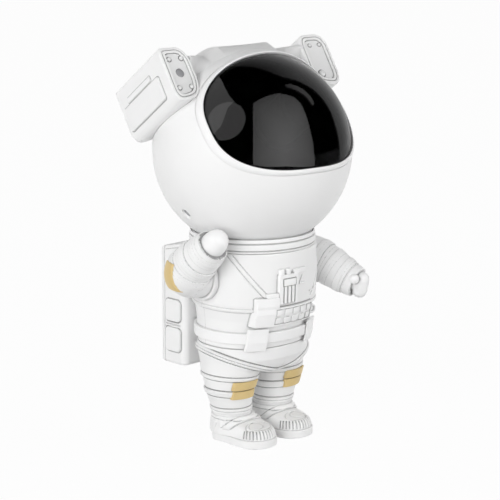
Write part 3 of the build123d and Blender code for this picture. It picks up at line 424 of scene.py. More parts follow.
def make_moulded_skin():
    """Shader group: faint flow marks, a fine spark-eroded texture, handling shine, and painted shade that
    darkens the colour in concave spots and in creases.
    """
    group = bpy.data.node_groups.new("moulded_skin", "ShaderNodeTree")
    for label, kind in (
        ("Tone", "NodeSocketColor"),
        ("Shade", "NodeSocketColor"),
        ("Shine", "NodeSocketFloat"),
        ("Texture", "NodeSocketFloat"),
    ):
        group.interface.new_socket(label, in_out="INPUT", socket_type=kind)
    for label, kind in (
        ("Colour", "NodeSocketColor"),
        ("Roughness", "NodeSocketFloat"),
        ("Normal", "NodeSocketVector"),
    ):
        group.interface.new_socket(label, in_out="OUTPUT", socket_type=kind)
    nodes, links = group.nodes, group.links
    given = nodes.new("NodeGroupInput")
    result = nodes.new("NodeGroupOutput")
    where = nodes.new("ShaderNodeTexCoord")
    flow = nodes.new("ShaderNodeTexNoise")
    flow.inputs["Scale"].default_value = 34
    flow.inputs["Detail"].default_value = 3
    grain = nodes.new("ShaderNodeTexNoise")
    grain.inputs["Scale"].default_value = 2600
    grain.inputs["Detail"].default_value = 2
    blend = nodes.new("ShaderNodeMix")
    blend.data_type = "RGBA"
    gloss = nodes.new("ShaderNodeMapRange")
    gloss.inputs["From Min"].default_value = 0.3
    gloss.inputs["From Max"].default_value = 0.7
    lower = nodes.new("ShaderNodeMath")
    lower.operation = "SUBTRACT"
    lower.inputs[1].default_value = 0.05
    upper = nodes.new("ShaderNodeMath")
    upper.operation = "ADD"
    upper.inputs[1].default_value = 0.05
    relief = nodes.new("ShaderNodeBump")
    relief.inputs["Distance"].default_value = 0.00003
    for node in (flow, grain):
        links.new(where.outputs["Object"], node.inputs["Vector"])
    links.new(flow.outputs["Fac"], blend.inputs["Factor"])
    links.new(given.outputs["Tone"], blend.inputs["A"])
    links.new(given.outputs["Shade"], blend.inputs["B"])
    # painted shade: pointiness darkens the colour in concave spots, and the stored 'crowded' value darkens it
    # further in creases
    shape = nodes.new("ShaderNodeNewGeometry")
    hollow = nodes.new("ShaderNodeMapRange")
    hollow.inputs["From Min"].default_value = 0.40
    hollow.inputs["From Max"].default_value = 0.495
    hollow.inputs["To Min"].default_value = 0.72
    crowding = nodes.new("ShaderNodeAttribute")
    crowding.attribute_name = "crowded"
    crease_shade_level = nodes.new("ShaderNodeMapRange")
    crease_shade_level.inputs["From Min"].default_value = 0.12
    crease_shade_level.inputs["From Max"].default_value = 0.80
    crease_shade_level.inputs["To Min"].default_value = 1.0
    crease_shade_level.inputs["To Max"].default_value = 0.38
    both = nodes.new("ShaderNodeMath")
    both.operation = "MULTIPLY"
    shaded_colour = nodes.new("ShaderNodeVectorMath")
    shaded_colour.operation = "SCALE"
    links.new(shape.outputs["Pointiness"], hollow.inputs["Value"])
    links.new(blend.outputs["Result"], shaded_colour.inputs["Vector"])
    links.new(crowding.outputs["Fac"], crease_shade_level.inputs["Value"])
    links.new(hollow.outputs["Result"], both.inputs[0])
    links.new(crease_shade_level.outputs["Result"], both.inputs[1])
    links.new(both.outputs["Value"], shaded_colour.inputs["Scale"])
    links.new(shaded_colour.outputs["Vector"], result.inputs["Colour"])
    links.new(given.outputs["Shine"], lower.inputs[0])
    links.new(given.outputs["Shine"], upper.inputs[0])
    links.new(flow.outputs["Fac"], gloss.inputs["Value"])
    links.new(lower.outputs["Value"], gloss.inputs["To Min"])
    links.new(upper.outputs["Value"], gloss.inputs["To Max"])
    links.new(gloss.outputs["Result"], result.inputs["Roughness"])
    links.new(grain.outputs["Fac"], relief.inputs["Height"])
    links.new(given.outputs["Texture"], relief.inputs["Strength"])
    links.new(relief.outputs["Normal"], result.inputs["Normal"])
    return group


moulded_skin = make_moulded_skin()


def plastic(name, tone, shade, shine, texture, metallic=0.0):
    """A moulded plastic or a plain metal, with the skin group's flow marks and texture."""
    material = bpy.data.materials.new(name)
    material.use_nodes = True
    nodes, links = material.node_tree.nodes, material.node_tree.links
    surface = nodes["Principled BSDF"]
    surface.inputs["Metallic"].default_value = metallic
    skin = nodes.new("ShaderNodeGroup")
    skin.node_tree = moulded_skin
    skin.inputs["Tone"].default_value = (*tone, 1)
    skin.inputs["Shade"].default_value = (*shade, 1)
    skin.inputs["Shine"].default_value = shine
    skin.inputs["Texture"].default_value = texture
    links.new(skin.outputs["Colour"], surface.inputs["Base Color"])
    links.new(skin.outputs["Roughness"], surface.inputs["Roughness"])
    links.new(skin.outputs["Normal"], surface.inputs["Normal"])
    return material


white_shell = plastic("white_shell", (0.87, 0.87, 0.868), (0.84, 0.84, 0.84), 0.45, 0.25)
white_trim = plastic("white_trim", (0.90, 0.90, 0.90), (0.88, 0.88, 0.88), 0.42, 0.2)

trunk_z = [57.1, 66.0, 73.0, 79.0, 82.5, 95.0, 104.0, 112.0]
trunk_half_width = [33.0, 33.0, 33.4, 34.4, 35.2, 35.3, 35.3, 35.3]
trunk_half_depth = [28.0, 29.0, 30.2, 31.5, 32.2, 32.4, 33.2, 34.8]
trunk_middle = [-0.4, -0.5, -0.9, -1.4, -1.7, -1.8, -1.2, 0.0]
back_flat = 26.0
shoulder = (5.0, 94.5)
dish_centre = (1.64, 0.41, 165.0)
dish_radius = 56.8


def squared_oval(u, v, half_u, half_v, power=2.22):
    """Distance to an oval with slightly squared shoulders, measured from its middle outwards."""
    share = (np.abs(u / half_u) ** power + np.abs(v / half_v) ** power) ** (1 / power)
    away = np.hypot(u, v)
    return away - away / np.maximum(share, 0.05)


def trunk_skin(x, y, z):
    """Distance outwards from the bare suit body, without its ends."""
    half_width = np.interp(z, trunk_z, trunk_half_width)
    half_depth = np.interp(z, trunk_z, trunk_half_depth)
    around = squared_oval(x, y - np.interp(z, trunk_z, trunk_middle), half_width, half_depth)
    return cut_line(around, y - back_flat, 1.5)


# the console's three fields: middle across and up, half width and half height
console_fields = {
    "block": (-18.5, 78.8, 6.0, 8.4),
    "tower": (-6.1, 91.5, 6.6, 8.4),
    "keypad": (-1.0, 76.0, 15.6, 5.3),
}


def console_edge(x, z):
    """Distance to the outline of the chest console: block, tower and keypad."""
    edges = [
        plate_edge(x - cx, z - cz, half_x, half_z, 0.6)
        for cx, cz, half_x, half_z in console_fields.values()
    ]
    return np.minimum.reduce(edges)


def trunk(x, y, z):
    form = trunk_skin(x, y, z)
    side = np.abs(x)
    # rib over the waist, with the part below it a little slimmer
    form = form + 0.6 * rise(79.0 - z, 0.7)
    form = form - 0.8 * welt(z - 79.9, 0.9, 0.5)
    # diagonal strap from the collar to the console, on both sides
    along = 0.514 * (side - 21) + 0.560 * (y + 28.0) - 0.651 * (z - 91)
    strap = welt(along, 0.85, 0.5) * rise(z - 84, 0.5) * rise(-y, 1)
    gutter = (welt(along - 1.4, 0.25, 0.3) + welt(along + 1.4, 0.25, 0.3)) * rise(z - 84, 0.5) * rise(-y, 1)
    form = form - 0.45 * strap + 0.3 * gutter
    # armhole seam on the left, and the boss that each sleeve turns on
    armhole = oval(y - shoulder[0], z - shoulder[1], 18.0, 16.0)
    form = form + 0.5 * welt(armhole, 0.22, 0.3) * rise(x - 26, 2)
    disc = cut_line(np.hypot(y - 3.8, z - 95.4) - 11.6, side - 35.5, 0.5)
    form = hull_line(form, disc, 0.8)
    # shadow gap round the console, and a slit beside it
    form = form + 0.4 * welt(console_edge(x, z) - 0.25, 0.25, 0.3) * rise(-y - 4, 1)
    slit = np.minimum(
        plate_edge(x - 28.6, z - 86.9, 1.6, 0.35, 0.2), plate_edge(x - 32.4, z - 87.9, 1.7, 0.35, 0.2)
    )
    form = form + 0.7 * rise(-slit, 0.3) * rise(-y - 2, 1)
    # parting line where the halves meet
    form = form + 0.3 * welt(y - shoulder[0], 0.12, 0.25) * rise(side - 30, 1)
    form = cut_line(form, np.maximum(z - trunk_z[-1], trunk_z[0] - z), 0.8)
    # dish in the top that the helmet's ball turns over
    return cut_line(form, -ball(x, y, z, dish_centre, dish_radius), 0.3)


cast(
    "suit_trunk", trunk, (-36.5, -36.5, 57), (36.5, 26.5, 112.2), 0.45, on_figure,
    "figure", white_shell, ["torso_front", "torso_back"],
)

# ---- collar: a ring with two grooves, clipped over the top of the trunk
# White plastic, moulded in one piece; the helmet's ball sits inside it without touching.


def turned(name, profile, segments, body, material, stands_for):
    """A ring turned from a closed profile of (radius, height) about the neck's axis."""
    rows = len(profile)
    verts, faces = [], []
    for s in range(segments):
        angle = 2 * math.pi * s / segments
        for radius, height in profile:
            verts.append((radius * math.cos(angle), radius * math.sin(angle), height))
    for s in range(segments):
        for r in range(rows):
            a, b = s * rows + r, s * rows + (r + 1) % rows
            c, d = ((s + 1) % segments) * rows + (r + 1) % rows, ((s + 1) % segments) * rows + r
            faces.append((a, d, c, b))
    mesh = bpy.data.meshes.new(name)
    mesh.from_pydata(on_figure(np.array(verts)).tolist(), [], faces)
    # painted shade in the collar's grooves: how far each profile point lies under the ring's outer face
    # nearby, stored for the skin group
    high = [max(r for r, h in profile if abs(h - height) < 1.3) for _, height in profile]
    sunk = [min(0.6, (top - point[0]) / 1.3) for top, point in zip(high, profile)]
    mesh.attributes.new("crowded", "FLOAT", "POINT").data.foreach_set("value", sunk * segments)
    finish_piece(name, mesh, body, material, stands_for)


def rounded(profile, radius):
    """The profile with each corner rounded."""
    steps = 4
    result = []
    count = len(profile)
    for i in range(count):
        here, before, after = (np.array(profile[(i + k) % count], float) for k in (0, -1, 1))
        to_before, to_after = before - here, after - here
        room = min(np.linalg.norm(to_before), np.linalg.norm(to_after)) * 0.45
        cut = min(radius, room)
        first = here + to_before / np.linalg.norm(to_before) * cut
        last = here + to_after / np.linalg.norm(to_after) * cut
        for k in range(steps + 1):
            t = k / steps
            result.append(tuple((1 - t) ** 2 * first + 2 * t * (1 - t) * here + t**2 * last))
    return result


collar_profile = rounded(
    [
        (34.0, 112.25), (35.3, 112.25), (35.6, 113.2), (34.85, 113.45), (34.85, 113.85), (35.7, 114.1),
        (35.7, 117.0), (34.85, 117.3), (34.85, 117.75), (35.4, 118.0), (35.1, 119.8), (34.6, 119.8),
        (34.0, 118.6),
    ],
    0.3,
)
turned("collar_ring", collar_profile, 192, "figure", white_shell, ["neck_collar"])

# ================================================================ HIPS, LEGS
# Trousers of the suit in satin white plastic: one hollow moulding, glued from a front and a back
# half under the trunk.  Rings and folds are moulded in.
hip_z = [38.5, 44.0, 50.0, 57.0]
hip_half_width = [27.6, 31.4, 32.8, 33.0]
hip_half_depth = [18.0, 23.6, 26.8, 27.6]
leg_z = [15.0, 21.0, 31.0, 41.0, 52.0]
leg_centre = [16.4, 17.2, 18.4, 17.4, 16.2]
leg_half_width = [11.3, 12.0, 14.4, 16.2, 16.0]
leg_half_depth = [11.5, 12.2, 14.4, 18.2, 21.5]


def bare_leg(side, y, z):
    """Distance to a leg without its folds, counted from the middle of the figure."""
    across = side - np.interp(z, leg_z, leg_centre)
    return oval(across, y, np.interp(z, leg_z, leg_half_width), np.interp(z, leg_z, leg_half_depth))


def trousers(x, y, z):
    side = np.abs(x)
    half_width, half_depth = np.interp(z, hip_z, hip_half_width), np.interp(z, hip_z, hip_half_depth)
    hips = squared_oval(x, y + 0.4, half_width, half_depth)
    hips = cut_line(cut_line(hips, 41.5 - z, 5.0), y - back_flat, 1.5)
    leg = cut_line(bare_leg(side, y, z), z - leg_z[-1], 1.5)
    # thigh: a fold in two welts that falls from the outside of the hip to the crotch
    fold = z - (43.4 + 0.32 * (side - 2) + 0.13 * y)
    thigh = -1.2 * welt(fold, 1.6, 0.8) + 0.6 * welt(fold, 0.25, 0.6)
    thigh = thigh + 0.5 * welt(fold - 2.1, 0.25, 0.5) + 0.6 * welt(fold + 1.9, 0.25, 0.5)
    thigh = thigh + 0.3 * rise(-fold - 2.0, 0.8)
    # knee: bands over and under a sunk strip
    tilt = z - 0.06 * (side - 18.4)
    bands = -0.6 * welt(tilt - 38.0, 0.95, 0.5) + 0.35 * welt(tilt - 33.6, 2.9, 0.5)
    bands = bands - 0.55 * welt(tilt - 29.0, 1.6, 0.5)
    for line in (39.4, 36.6, 30.9, 26.9):
        bands = bands + 0.55 * welt(tilt - line, 0.2, 0.45)
    # ankle: two rings
    ankle = -0.6 * welt(z - 19.4, 0.65, 0.4) - 0.4 * welt(z - 17.7, 0.6, 0.4) + 0.5 * welt(z - 20.5, 0.2, 0.4)
    leg = leg + bands * rise(36.8 - fold, 1) + ankle
    form = hull_line(hips, leg, 2.5)
    form = form + thigh * rise(leg + 6, 4) * rise(55 - z, 1.5)
    # gap between the thighs
    form = form + 0.3 * welt(x, 0.25, 0.6) * rise(-y - 8, 4) * rise(48 - z, 6)
    return cut_line(form, np.maximum(z - hip_z[-1], leg_z[0] - z), 0.6)


cast(
    "suit_trousers", trousers, (-34.5, -30, 15), (34.5, 27, 57), 0.45, on_figure,
    "figure", white_shell, ["legs_front", "legs_back"],
)

# ---- knee pads: two gold strips on the front of each knee
# Pad-printed satin gold on separate thin mouldings, stuck into the sunk strip of the knee.
pad_gold = plastic("pad_gold", (0.74, 0.565, 0.27), (0.70, 0.525, 0.235), 0.42, 0.25)


def knee_strips(x, y, z):
    side = np.abs(x)
    leg = bare_leg(side, y, z)
    slab = cut_line(leg - 1.25, -(leg + 0.4), 0.3)
    turn = side - 19.8
    rows = np.minimum(
        plate_edge(turn, z - 29.1, 7.4, 2.5, 0.5),
        plate_edge(turn, z - 34.6, 8.0, 2.6, 0.5),
    )
    return cut_line(cut_line(slab, rows, 0.35), y + 5.0, 0.3)


cast(
    "knee_strips", knee_strips, (-30, -17.5, 26), (30, -5, 38), 0.4, on_figure,
    "figure", pad_gold, ["knee_pads"],
)

# ================================================================ BOOTS
# Moon boots in white plastic: an upper moulding plugged onto each ankle, and a flat sole glued under
# it.  The ribbed toe cap, the strap and the heel tab are moulded in.
sole_thickness = 4.6
boot_centre = 14.6
ribs_per_turn = 42


def sole_outline(side, y):
    """Distance to the footprint: a long oval, fuller at the toe."""
    waist = 0.7 * welt(y + 3, 5, 8)
    return plate_edge(side - boot_centre, y + 8.5, 12.3, 20.5, 11.6) + waist


def soles(x, y, z):
    outline = sole_outline(np.abs(x), y)
    return cut_line(outline, np.abs(z - sole_thickness / 2) - sole_thickness / 2, 0.5)


cast(
    "boot_treads", soles, (-28, -30, 0), (28, 13, 4.8), 0.45, on_figure,
    "figure", white_shell, ["boot_soles"],
)


def boots(x, y, z):
    side = np.abs(x)
    across = side - boot_centre
    up = z - sole_thickness
    foot = sole_outline(side, y) + 0.5
    top = np.interp(y, [-30, -26, -20, -14, -8, 0, 12], [4.3, 5.6, 6.9, 8.4, 11.0, 12.5, 12.5])
    crown = np.sqrt((across / 12.6) ** 2 * 0.55 + (up / top) ** 2)
    foot = cut_line(foot + 0.10 * up, (crown - 1) * top, 3.5)
    shaft = oval(side - 16.0, y, 11.9, 12.3)
    shaft = cut_line(shaft, z - 15.6, 1.0)
    form = hull_line(foot, shaft, 3.0)
    # ribbed toe cap
    toe = rise(-y - 21.5, 0.8) * rise(across**2 * 0.02 - y - 24.5, 0.8)
    spread = np.arctan2(across, -(y + 13.5))
    ribs = 0.5 + 0.5 * np.cos(spread * ribs_per_turn)
    low_band = rise(4.9 - up, 0.6) * rise(up - 0.5, 0.4)
    form = form + 0.8 * (1 - ribs) * low_band * rise(-y - 18.0, 0.8)
    form = form + 0.3 * welt(up - 5.3, 0.2, 0.4) * toe
    # oval field on top of the toe
    field_edge = oval(across, y + 20.5, 7.4, 4.6)
    form = form + (0.35 * rise(-field_edge, 0.5) + 0.25 * welt(field_edge, 0.2, 0.3)) * rise(up - 3, 1)
    # strap over the instep that falls back to the ankle on both sides, and a badge line in front of it
    strap = 0.66 * (y + 11.6) - 0.75 * (9.4 - up)
    strap_lines = 0.3 * (welt(strap - 2.1, 0.3, 0.6) + welt(strap + 2.1, 0.3, 0.6))
    form = form + (strap_lines - 0.6 * welt(strap, 1.5, 0.5)) * rise(up - 4.0, 0.8) * rise(-y - 1, 1)
    badge = np.hypot((side - 17.8) / 1.6, y + 19.6) - 3.6
    form = form + 0.4 * welt(badge, 0.3, 0.5) * rise(up - 4.5, 1)
    # quarter panel and heel tab
    quarter = y - 1.0 + 0.55 * (up - 6)
    form = form - 0.4 * rise(quarter, 0.5) * rise(7.4 - up, 0.5) * rise(up - 0.8, 0.4)
    tab = plate_edge(y + 3.5, z - 13.0, 1.9, 3.8, 0.5)
    form = form - 0.35 * rise(-tab, 0.4) * rise(side - 20, 3)
    form = form + 0.45 * welt(z - 13.6, 0.2, 0.4)
    return cut_line(form, np.maximum(sole_thickness - z, z - 15.6), 0.5)


cast(
    "boot_uppers", boots, (-28.5, -30, 4.4), (28.5, 13, 16), 0.42, on_figure,
    "figure", white_shell, ["left_boot", "right_boot"],
)

# ================================================================ BELT, STRAP LOOPS
# A flat belt of white plastic round the foot of the trunk, and two loops moulded by themselves and
# clipped over it, one on each side of the front.
belt_low, belt_high = 60.4, 66.6
right_loop, left_loop = 21.4, 18.5


def belt(x, y, z):
    skin = trunk_skin(x, y, z)
    ring = np.maximum(skin - 1.4, -(skin + 0.8))
    height = np.abs(z - (belt_low + belt_high) / 2) - (belt_high - belt_low) / 2
    return cut_line(cut_line(ring, height, 0.6), y - 25.6, 0.4)


cast(
    "suit_belt", belt, (-36, -32, belt_low), (36, 26, belt_high), 0.45, on_figure,
    "figure", white_trim, ["belt"],
)


def loops(x, y, z):
    skin = trunk_skin(x, y, z) - 1.3 + 0.2 * np.maximum(61.5 - z, 0)
    ring = np.abs(skin - 0.75) - 0.75
    flap = plate_edge(np.where(x < 0, -x - right_loop, x - left_loop), z - 62.8, 5.0, 6.7, 0.9)
    return cut_line(cut_line(ring, flap, 0.45), y + 5, 0.4)


cast(
    "strap_flaps", loops, (-28, -33, 55.5), (25, -14, 70), 0.4, on_figure,
    "figure", white_trim, ["strap_loops"],
)

# ================================================================ CHEST CONSOLE
# Control box of the suit in one moulding: battery block, gauge tower and a keypad with ten keys,
# with a small knob at its end.  It is plugged into the chest.
knob_x, knob_z = 16.8, 75.6
keys_x, keys_z = -0.6, 75.9
key_pitch, key_row = 5.7, 2.3


def console_floor(x, y, z):
    """The trunk's skin, bridged over the hollow of the waist."""
    return np.maximum(trunk_skin(x, y, np.maximum(z, 81.0)), trunk_skin(x, y, z) - 0.9)


def console(x, y, z):
    skin = console_floor(x, y, z)

    def plate(cx, cz, half_x, half_z, high, corner=0.6, soft=0.35):
        return cut_line(plate_edge(x - cx, z - cz, half_x, half_z, corner), skin - high, soft)

    form = plate(*console_fields["block"], 2.0)
    form = np.minimum(form, plate(*console_fields["tower"], 1.7))
    form = np.minimum(form, plate(*console_fields["keypad"], 1.8))
    # keypad field sunk inside its frame
    field = plate_edge(x + 0.2, z - 75.9, 14.0, 4.5, 0.5)
    form = np.maximum(form, -np.maximum(field, 1.0 - skin))
    # channel of the tower, its three gauges and the square over them
    channel = plate_edge(x + 5.8, z - 88.4, 4.4, 5.1, 0.4)
    form = np.maximum(form, -np.maximum(channel, 0.7 - skin))
    for column in range(3):
        form = np.minimum(form, plate(-8.5 + 2.7 * column, 88.4, 0.8, 4.9, 1.6, 0.3, 0.25))
    rim = plate_edge(x + 5.8, z - 95.3, 4.7, 2.4, 0.4)
    form = np.maximum(form, -np.maximum(rim, 1.1 - skin))
    form = np.minimum(form, plate(-5.8, 95.3, 4.2, 1.9, 2.0, 0.4))
    # two little bottles and a bar on top, a bar on the block, a bracket beside the tower
    for cx in (-11.0, -6.7):
        bottle = np.hypot(x - cx, skin - 0.5) - 1.6
        form = np.minimum(form, cut_line(bottle, np.abs(z - 101.3) - 1.6, 0.6))
    form = np.minimum(form, plate(2.3, 100.8, 5.0, 1.2, 1.5, 0.5))
    form = np.minimum(form, plate(-16.2, 88.4, 3.3, 1.3, 1.6, 0.5))
    slanted = np.abs((x - 4.05) - 0.48 * (z - 95.2)) - 0.35
    bracket = np.minimum(
        np.maximum(slanted, np.abs(z - 95.2) - 2.4),
        np.maximum(np.abs(z - 92.9) - 0.35, np.abs(x - 5.2) - 2.2),
    )
    for cx, cz, half in ((14.5, 86.9, 2.0), (20.0, 88.0, 2.4)):
        bracket = np.minimum(bracket, plate_edge(x - cx, z - cz, half, 0.35, 0.2))
    form = np.minimum(form, cut_line(bracket, skin - 0.7, 0.2))
    # knob on the end of the keypad
    away = np.hypot(x - knob_x, z - knob_z)
    knurl = 0.12 * np.cos(12 * np.arctan2(z - knob_z, x - knob_x))
    knob = cut_line(away - 2.7 + knurl, np.abs(y + 29.0) - 2.2, 0.5)
    knob = np.maximum(knob, -cut_line(away - 1.6, y + 30.6, 0.2))
    form = np.minimum(form, knob)
    return cut_line(cut_line(form, -(trunk_skin(x, y, z) + 0.7), 0.2), y + 4, 0.3)


cast(
    "chest_box", console, (-27, -38, 69), (25, -16, 105), 0.33, on_figure,
    "figure", white_trim, ["chest_console", "console_knob"],
)


def keys(x, y, z):
    skin = console_floor(x, y, z)
    column = (x - keys_x) - key_pitch * np.clip(np.round((x - keys_x) / key_pitch), -2, 2)
    row = (z - keys_z) - np.where(z > keys_z, key_row, -key_row)
    return cut_line(cut_line(plate_edge(column, row, 1.75, 1.75, 0.5), skin - 1.9, 0.4), 0.8 - skin, 0.2)


cast(
    "keypad_keys", keys, (-15, -37, 71), (14, -24, 81), 0.3, on_figure,
    "figure", white_trim, ["console_keys"],
)

# ================================================================ BACKPACK
# Life-support pack: a hollow box moulding closed by a lid at the back, glued to the flat of the
# trunk, with raised panels on both sides.
pack_middle = 36.6
panel_middle = 35.6


def backpack(x, y, z):
    side = np.abs(x)
    top = 111.0 - 0.22 * (y - 27)
    outline = plate_edge(x, y - pack_middle, 28.2, 10.4, 4.0)
    form = cut_line(outline, np.maximum(z - top, 39.0 - z), 2.2)
    # lid seam at the back and a step round the top
    form = form + 0.5 * welt(y - 42.6, 0.2, 0.3)
    form = form + 0.5 * welt(z - (top - 2.2), 0.2, 0.3) * rise(41.5 - y, 0.5)
    # side panels: two fields with a double ridge between them
    upper = plate_edge(y - panel_middle, z - 70.6, 6.0, 6.4, 2.4)
    lower = plate_edge(y - panel_middle, z - 53.6, 6.0, 7.0, 2.4)
    on_panel = rise(6.0 - np.abs(y - panel_middle), 0.4)
    raised = rise(-np.minimum(upper, lower), 0.4) + welt(z - 61.4, 0.55, 0.4) * on_panel
    raised = raised + welt(z - 63.3, 0.45, 0.4) * on_panel
    gutter = welt(np.minimum(upper, lower) - 0.35, 0.3, 0.3)
    form = form + (0.5 * gutter - 0.7 * raised) * rise(side - 26.7, 1)
    # two long fields on the lid, with a row of cooling ribs between them
    back = rise(y - 45.5, 0.6)
    fields = plate_edge(side - 12.0, z - 72.0, 8.4, 22.0, 2.5)
    ribs = plate_edge(x, z - 100.5, 18.0, 3.75, 1.0)
    form = form + 0.5 * rise(-fields, 0.5) * back
    form = form + 0.5 * (0.5 + 0.5 * np.cos(z * math.tau / 2.5)) * rise(-ribs, 0.5) * back
    return form


cast(
    "life_pack", backpack, (-29, 26, 38.5), (29, 48, 112), 0.45, on_figure,
    "figure", white_shell, ["backpack_shell", "backpack_cover", "backpack_side_panels"],
)

# ================================================================ ARMS
# Each sleeve is one white moulding with a stub axle that turns in the trunk.  Rings and folds run
# round it; the right one is raised from the elbow and the left one reaches forwards.


sleeve_stations = 29
inner_end = 35.75


def sleeve_line(points, radii):
    """A smooth line through the given points, with its radii and the distance run along it."""
    points, radii = np.array(points, float), np.array(radii, float)
    stations = np.linspace(0, len(points) - 1, sleeve_stations)
    padded = np.vstack([2 * points[0] - points[1], points, 2 * points[-1] - points[-2]])
    line = []
    for s in stations:
        k = min(int(s), len(points) - 2)
        t = s - k
        a, b, c, d = padded[k : k + 4]
        bend = 2 * b + (c - a) * t + (2 * a - 5 * b + 4 * c - d) * t**2
        line.append(0.5 * (bend + (3 * b - a - 3 * c + d) * t**3))
    line = np.array(line)
    run = np.concatenate([[0], np.cumsum(np.linalg.norm(np.diff(line, axis=0), axis=1))])
    return line, np.interp(stations, range(len(points)), radii), run


def share_along(x, y, z, start, span):
    """Where the nearest point of a span's line lies, from 0 at its start to 1 at its end."""
    return sum((here - a) * way for here, a, way in zip((x, y, z), start, span)) / np.dot(span, span)


def away_from(x, y, z, start, span, share):
    """Distance to the point that lies this share along a span."""
    return np.sqrt(sum((here - a - share * way) ** 2 for here, a, way in zip((x, y, z), start, span)))


def along_sleeve(x, y, z, sleeve):
    """Distance to the sleeve's skin and how far along the sleeve the nearest point lies."""
    line, radii, run = sleeve
    nearest = np.full(x.shape, 1e9)
    station = np.zeros(x.shape)
    for k in range(len(line) - 1):
        span = line[k + 1] - line[k]
        t = share_along(x, y, z, line[k], span)
        if k > 0:
            t = np.maximum(t, 0)
        if k < len(line) - 2:
            t = np.minimum(t, 1)
        away = away_from(x, y, z, line[k], span, t)
        away = away - (radii[k] + np.clip(t, 0, 1) * (radii[k + 1] - radii[k]))
        closer = away < nearest
        nearest = np.where(closer, away, nearest)
        station = np.where(closer, run[k] + t * (run[k + 1] - run[k]), station)
    return nearest, station


right_sleeve = sleeve_line(
    [
        (-35.0, 3.4, 98.0), (-40.2, 4.4, 98.4), (-44.8, 4.6, 100.2),
        (-46.4, -0.4, 106.0), (-46.8, -8.6, 112.8), (-46.8, -16.2, 119.1),
    ],
    [11.4, 11.9, 12.4, 12.0, 10.7, 9.4],
)
right_length = right_sleeve[2][-1]


def right_arm(x, y, z):
    form, run = along_sleeve(x, y, z, right_sleeve)
    end = run - right_length
    # rings, steps at the two upper ones, and the padding that swells between them
    form = form + 0.8 * welt(end + 2.6, 0.4, 0.8) + 0.8 * welt(end + 12.0, 0.4, 0.9)
    form = form + 0.7 * welt(end + 21.0, 0.4, 1.0)
    form = form - 0.4 * rise(-end - 12.4, 0.8) - 0.4 * rise(-end - 21.4, 1.0)
    form = form + 0.5 * welt(end + 29.0, 0.4, 1.2)
    form = form - 0.5 * np.sin(np.clip(-end - 2.6, 0, 27.6) * math.pi / 9.2) ** 2
    flange = cut_line(np.hypot(y - 2.8, z - 96.4) - 12.5, -(x + 38.6), 1.2)
    form = hull_line(form, flange, 0.5)
    return cut_line(cut_line(form, x + inner_end, 0.5), end, 0.8)


cast(
    "right_sleeve", right_arm, (-62, -27, 82), (-35, 20, 128), 0.4, on_figure,
    "right_arm", white_shell, ["right_arm"],
)

# ---- gold elbow pad: a thin printed plate let into the outside of the elbow
# Same satin gold as the knees.  Its ways point out of the elbow, up the sleeve and across it.
pad_out = np.array([-0.885, 0.455, 0.10])
pad_out /= np.linalg.norm(pad_out)
pad_up = np.array([0.06, -0.10, 0.993])
pad_up -= pad_out * np.dot(pad_up, pad_out)
pad_up /= np.linalg.norm(pad_up)
pad_across = np.cross(pad_up, pad_out)
elbow = (-45.0, 3.0, 99.5)


def elbow_plate(x, y, z):
    form = along_sleeve(x, y, z, right_sleeve)[0]
    slab = cut_line(form - 1.7, -(form + 0.4), 0.3)
    u, v, w = (
        (x - elbow[0]) * way[0] + (y - elbow[1]) * way[1] + (z - elbow[2]) * way[2]
        for way in (pad_across, pad_up, pad_out)
    )
    return cut_line(cut_line(slab, plate_edge(u - 2.0, v + 0.6, 5.0, 8.0, 1.0), 0.35), 4 - w, 0.3)


cast(
    "elbow_plate", elbow_plate, (-63, -10, 86), (-44, 20, 113), 0.4, on_figure,
    "right_arm", pad_gold, ["elbow_pad"],
)

left_sleeve = sleeve_line(
    [
        (34.5, 5.0, 94.6), (40.5, 3.0, 96.0), (45.5, -2.2, 96.2), (48.6, -11.0, 93.8),
        (51.2, -18.4, 89.8), (53.5, -25.0, 86.4), (54.8, -29.6, 84.4),
    ],
    [13.0, 13.1, 12.7, 11.6, 10.9, 9.7, 8.9],
)
left_length = left_sleeve[2][-1]


def left_arm(x, y, z):
    form, run = along_sleeve(x, y, z, left_sleeve)
    end = run - left_length
    for ring in (22.3, 20.3, 13.4, 11.4):
        form = form + 0.75 * welt(end + ring, 0.3, 0.7)
    form = form + 1.0 * welt(end + 5.2, 0.35, 0.6) - 0.4 * rise(-end - 22.4, 0.6)
    form = form - 0.45 * np.sin(np.clip(-end - 5.2, 0, 24.3) * math.pi / 8.1) ** 2
    return cut_line(cut_line(form, inner_end - x, 0.5), end, 1.6)


cast(
    "left_sleeve", left_arm, (35, -38, 74), (64, 20, 111), 0.4, on_figure,
    "left_arm", white_shell, ["left_arm"],
)

# ================================================================ GLOVES
# Mittens of white plastic glued into the cuffs, smoother and a little whiter than the sleeves.  The
# left one has its thumb spread.


def rod(x, y, z, a, b, radius_a, radius_b):
    """A tapering rod with round ends."""
    span = np.array(b, float) - np.array(a, float)
    t = np.clip(share_along(x, y, z, a, span), 0, 1)
    return away_from(x, y, z, a, span, t) - (radius_a + t * (radius_b - radius_a))


def right_glove(x, y, z):
    wrist = rod(x, y, z, (-46.7, -14.6, 118.0), (-46.6, -17.4, 120.3), 7.3, 7.1)
    palm = rod(x, y, z, (-46.6, -16.6, 119.8), (-46.5, -19.3, 122.2), 6.5, 6.4)
    return hull_line(wrist, palm, 0.4)


cast(
    "right_glove", right_glove, (-56, -28, 109), (-38, -6, 130), 0.42, on_figure,
    "right_arm", white_trim, ["right_hand"],
)


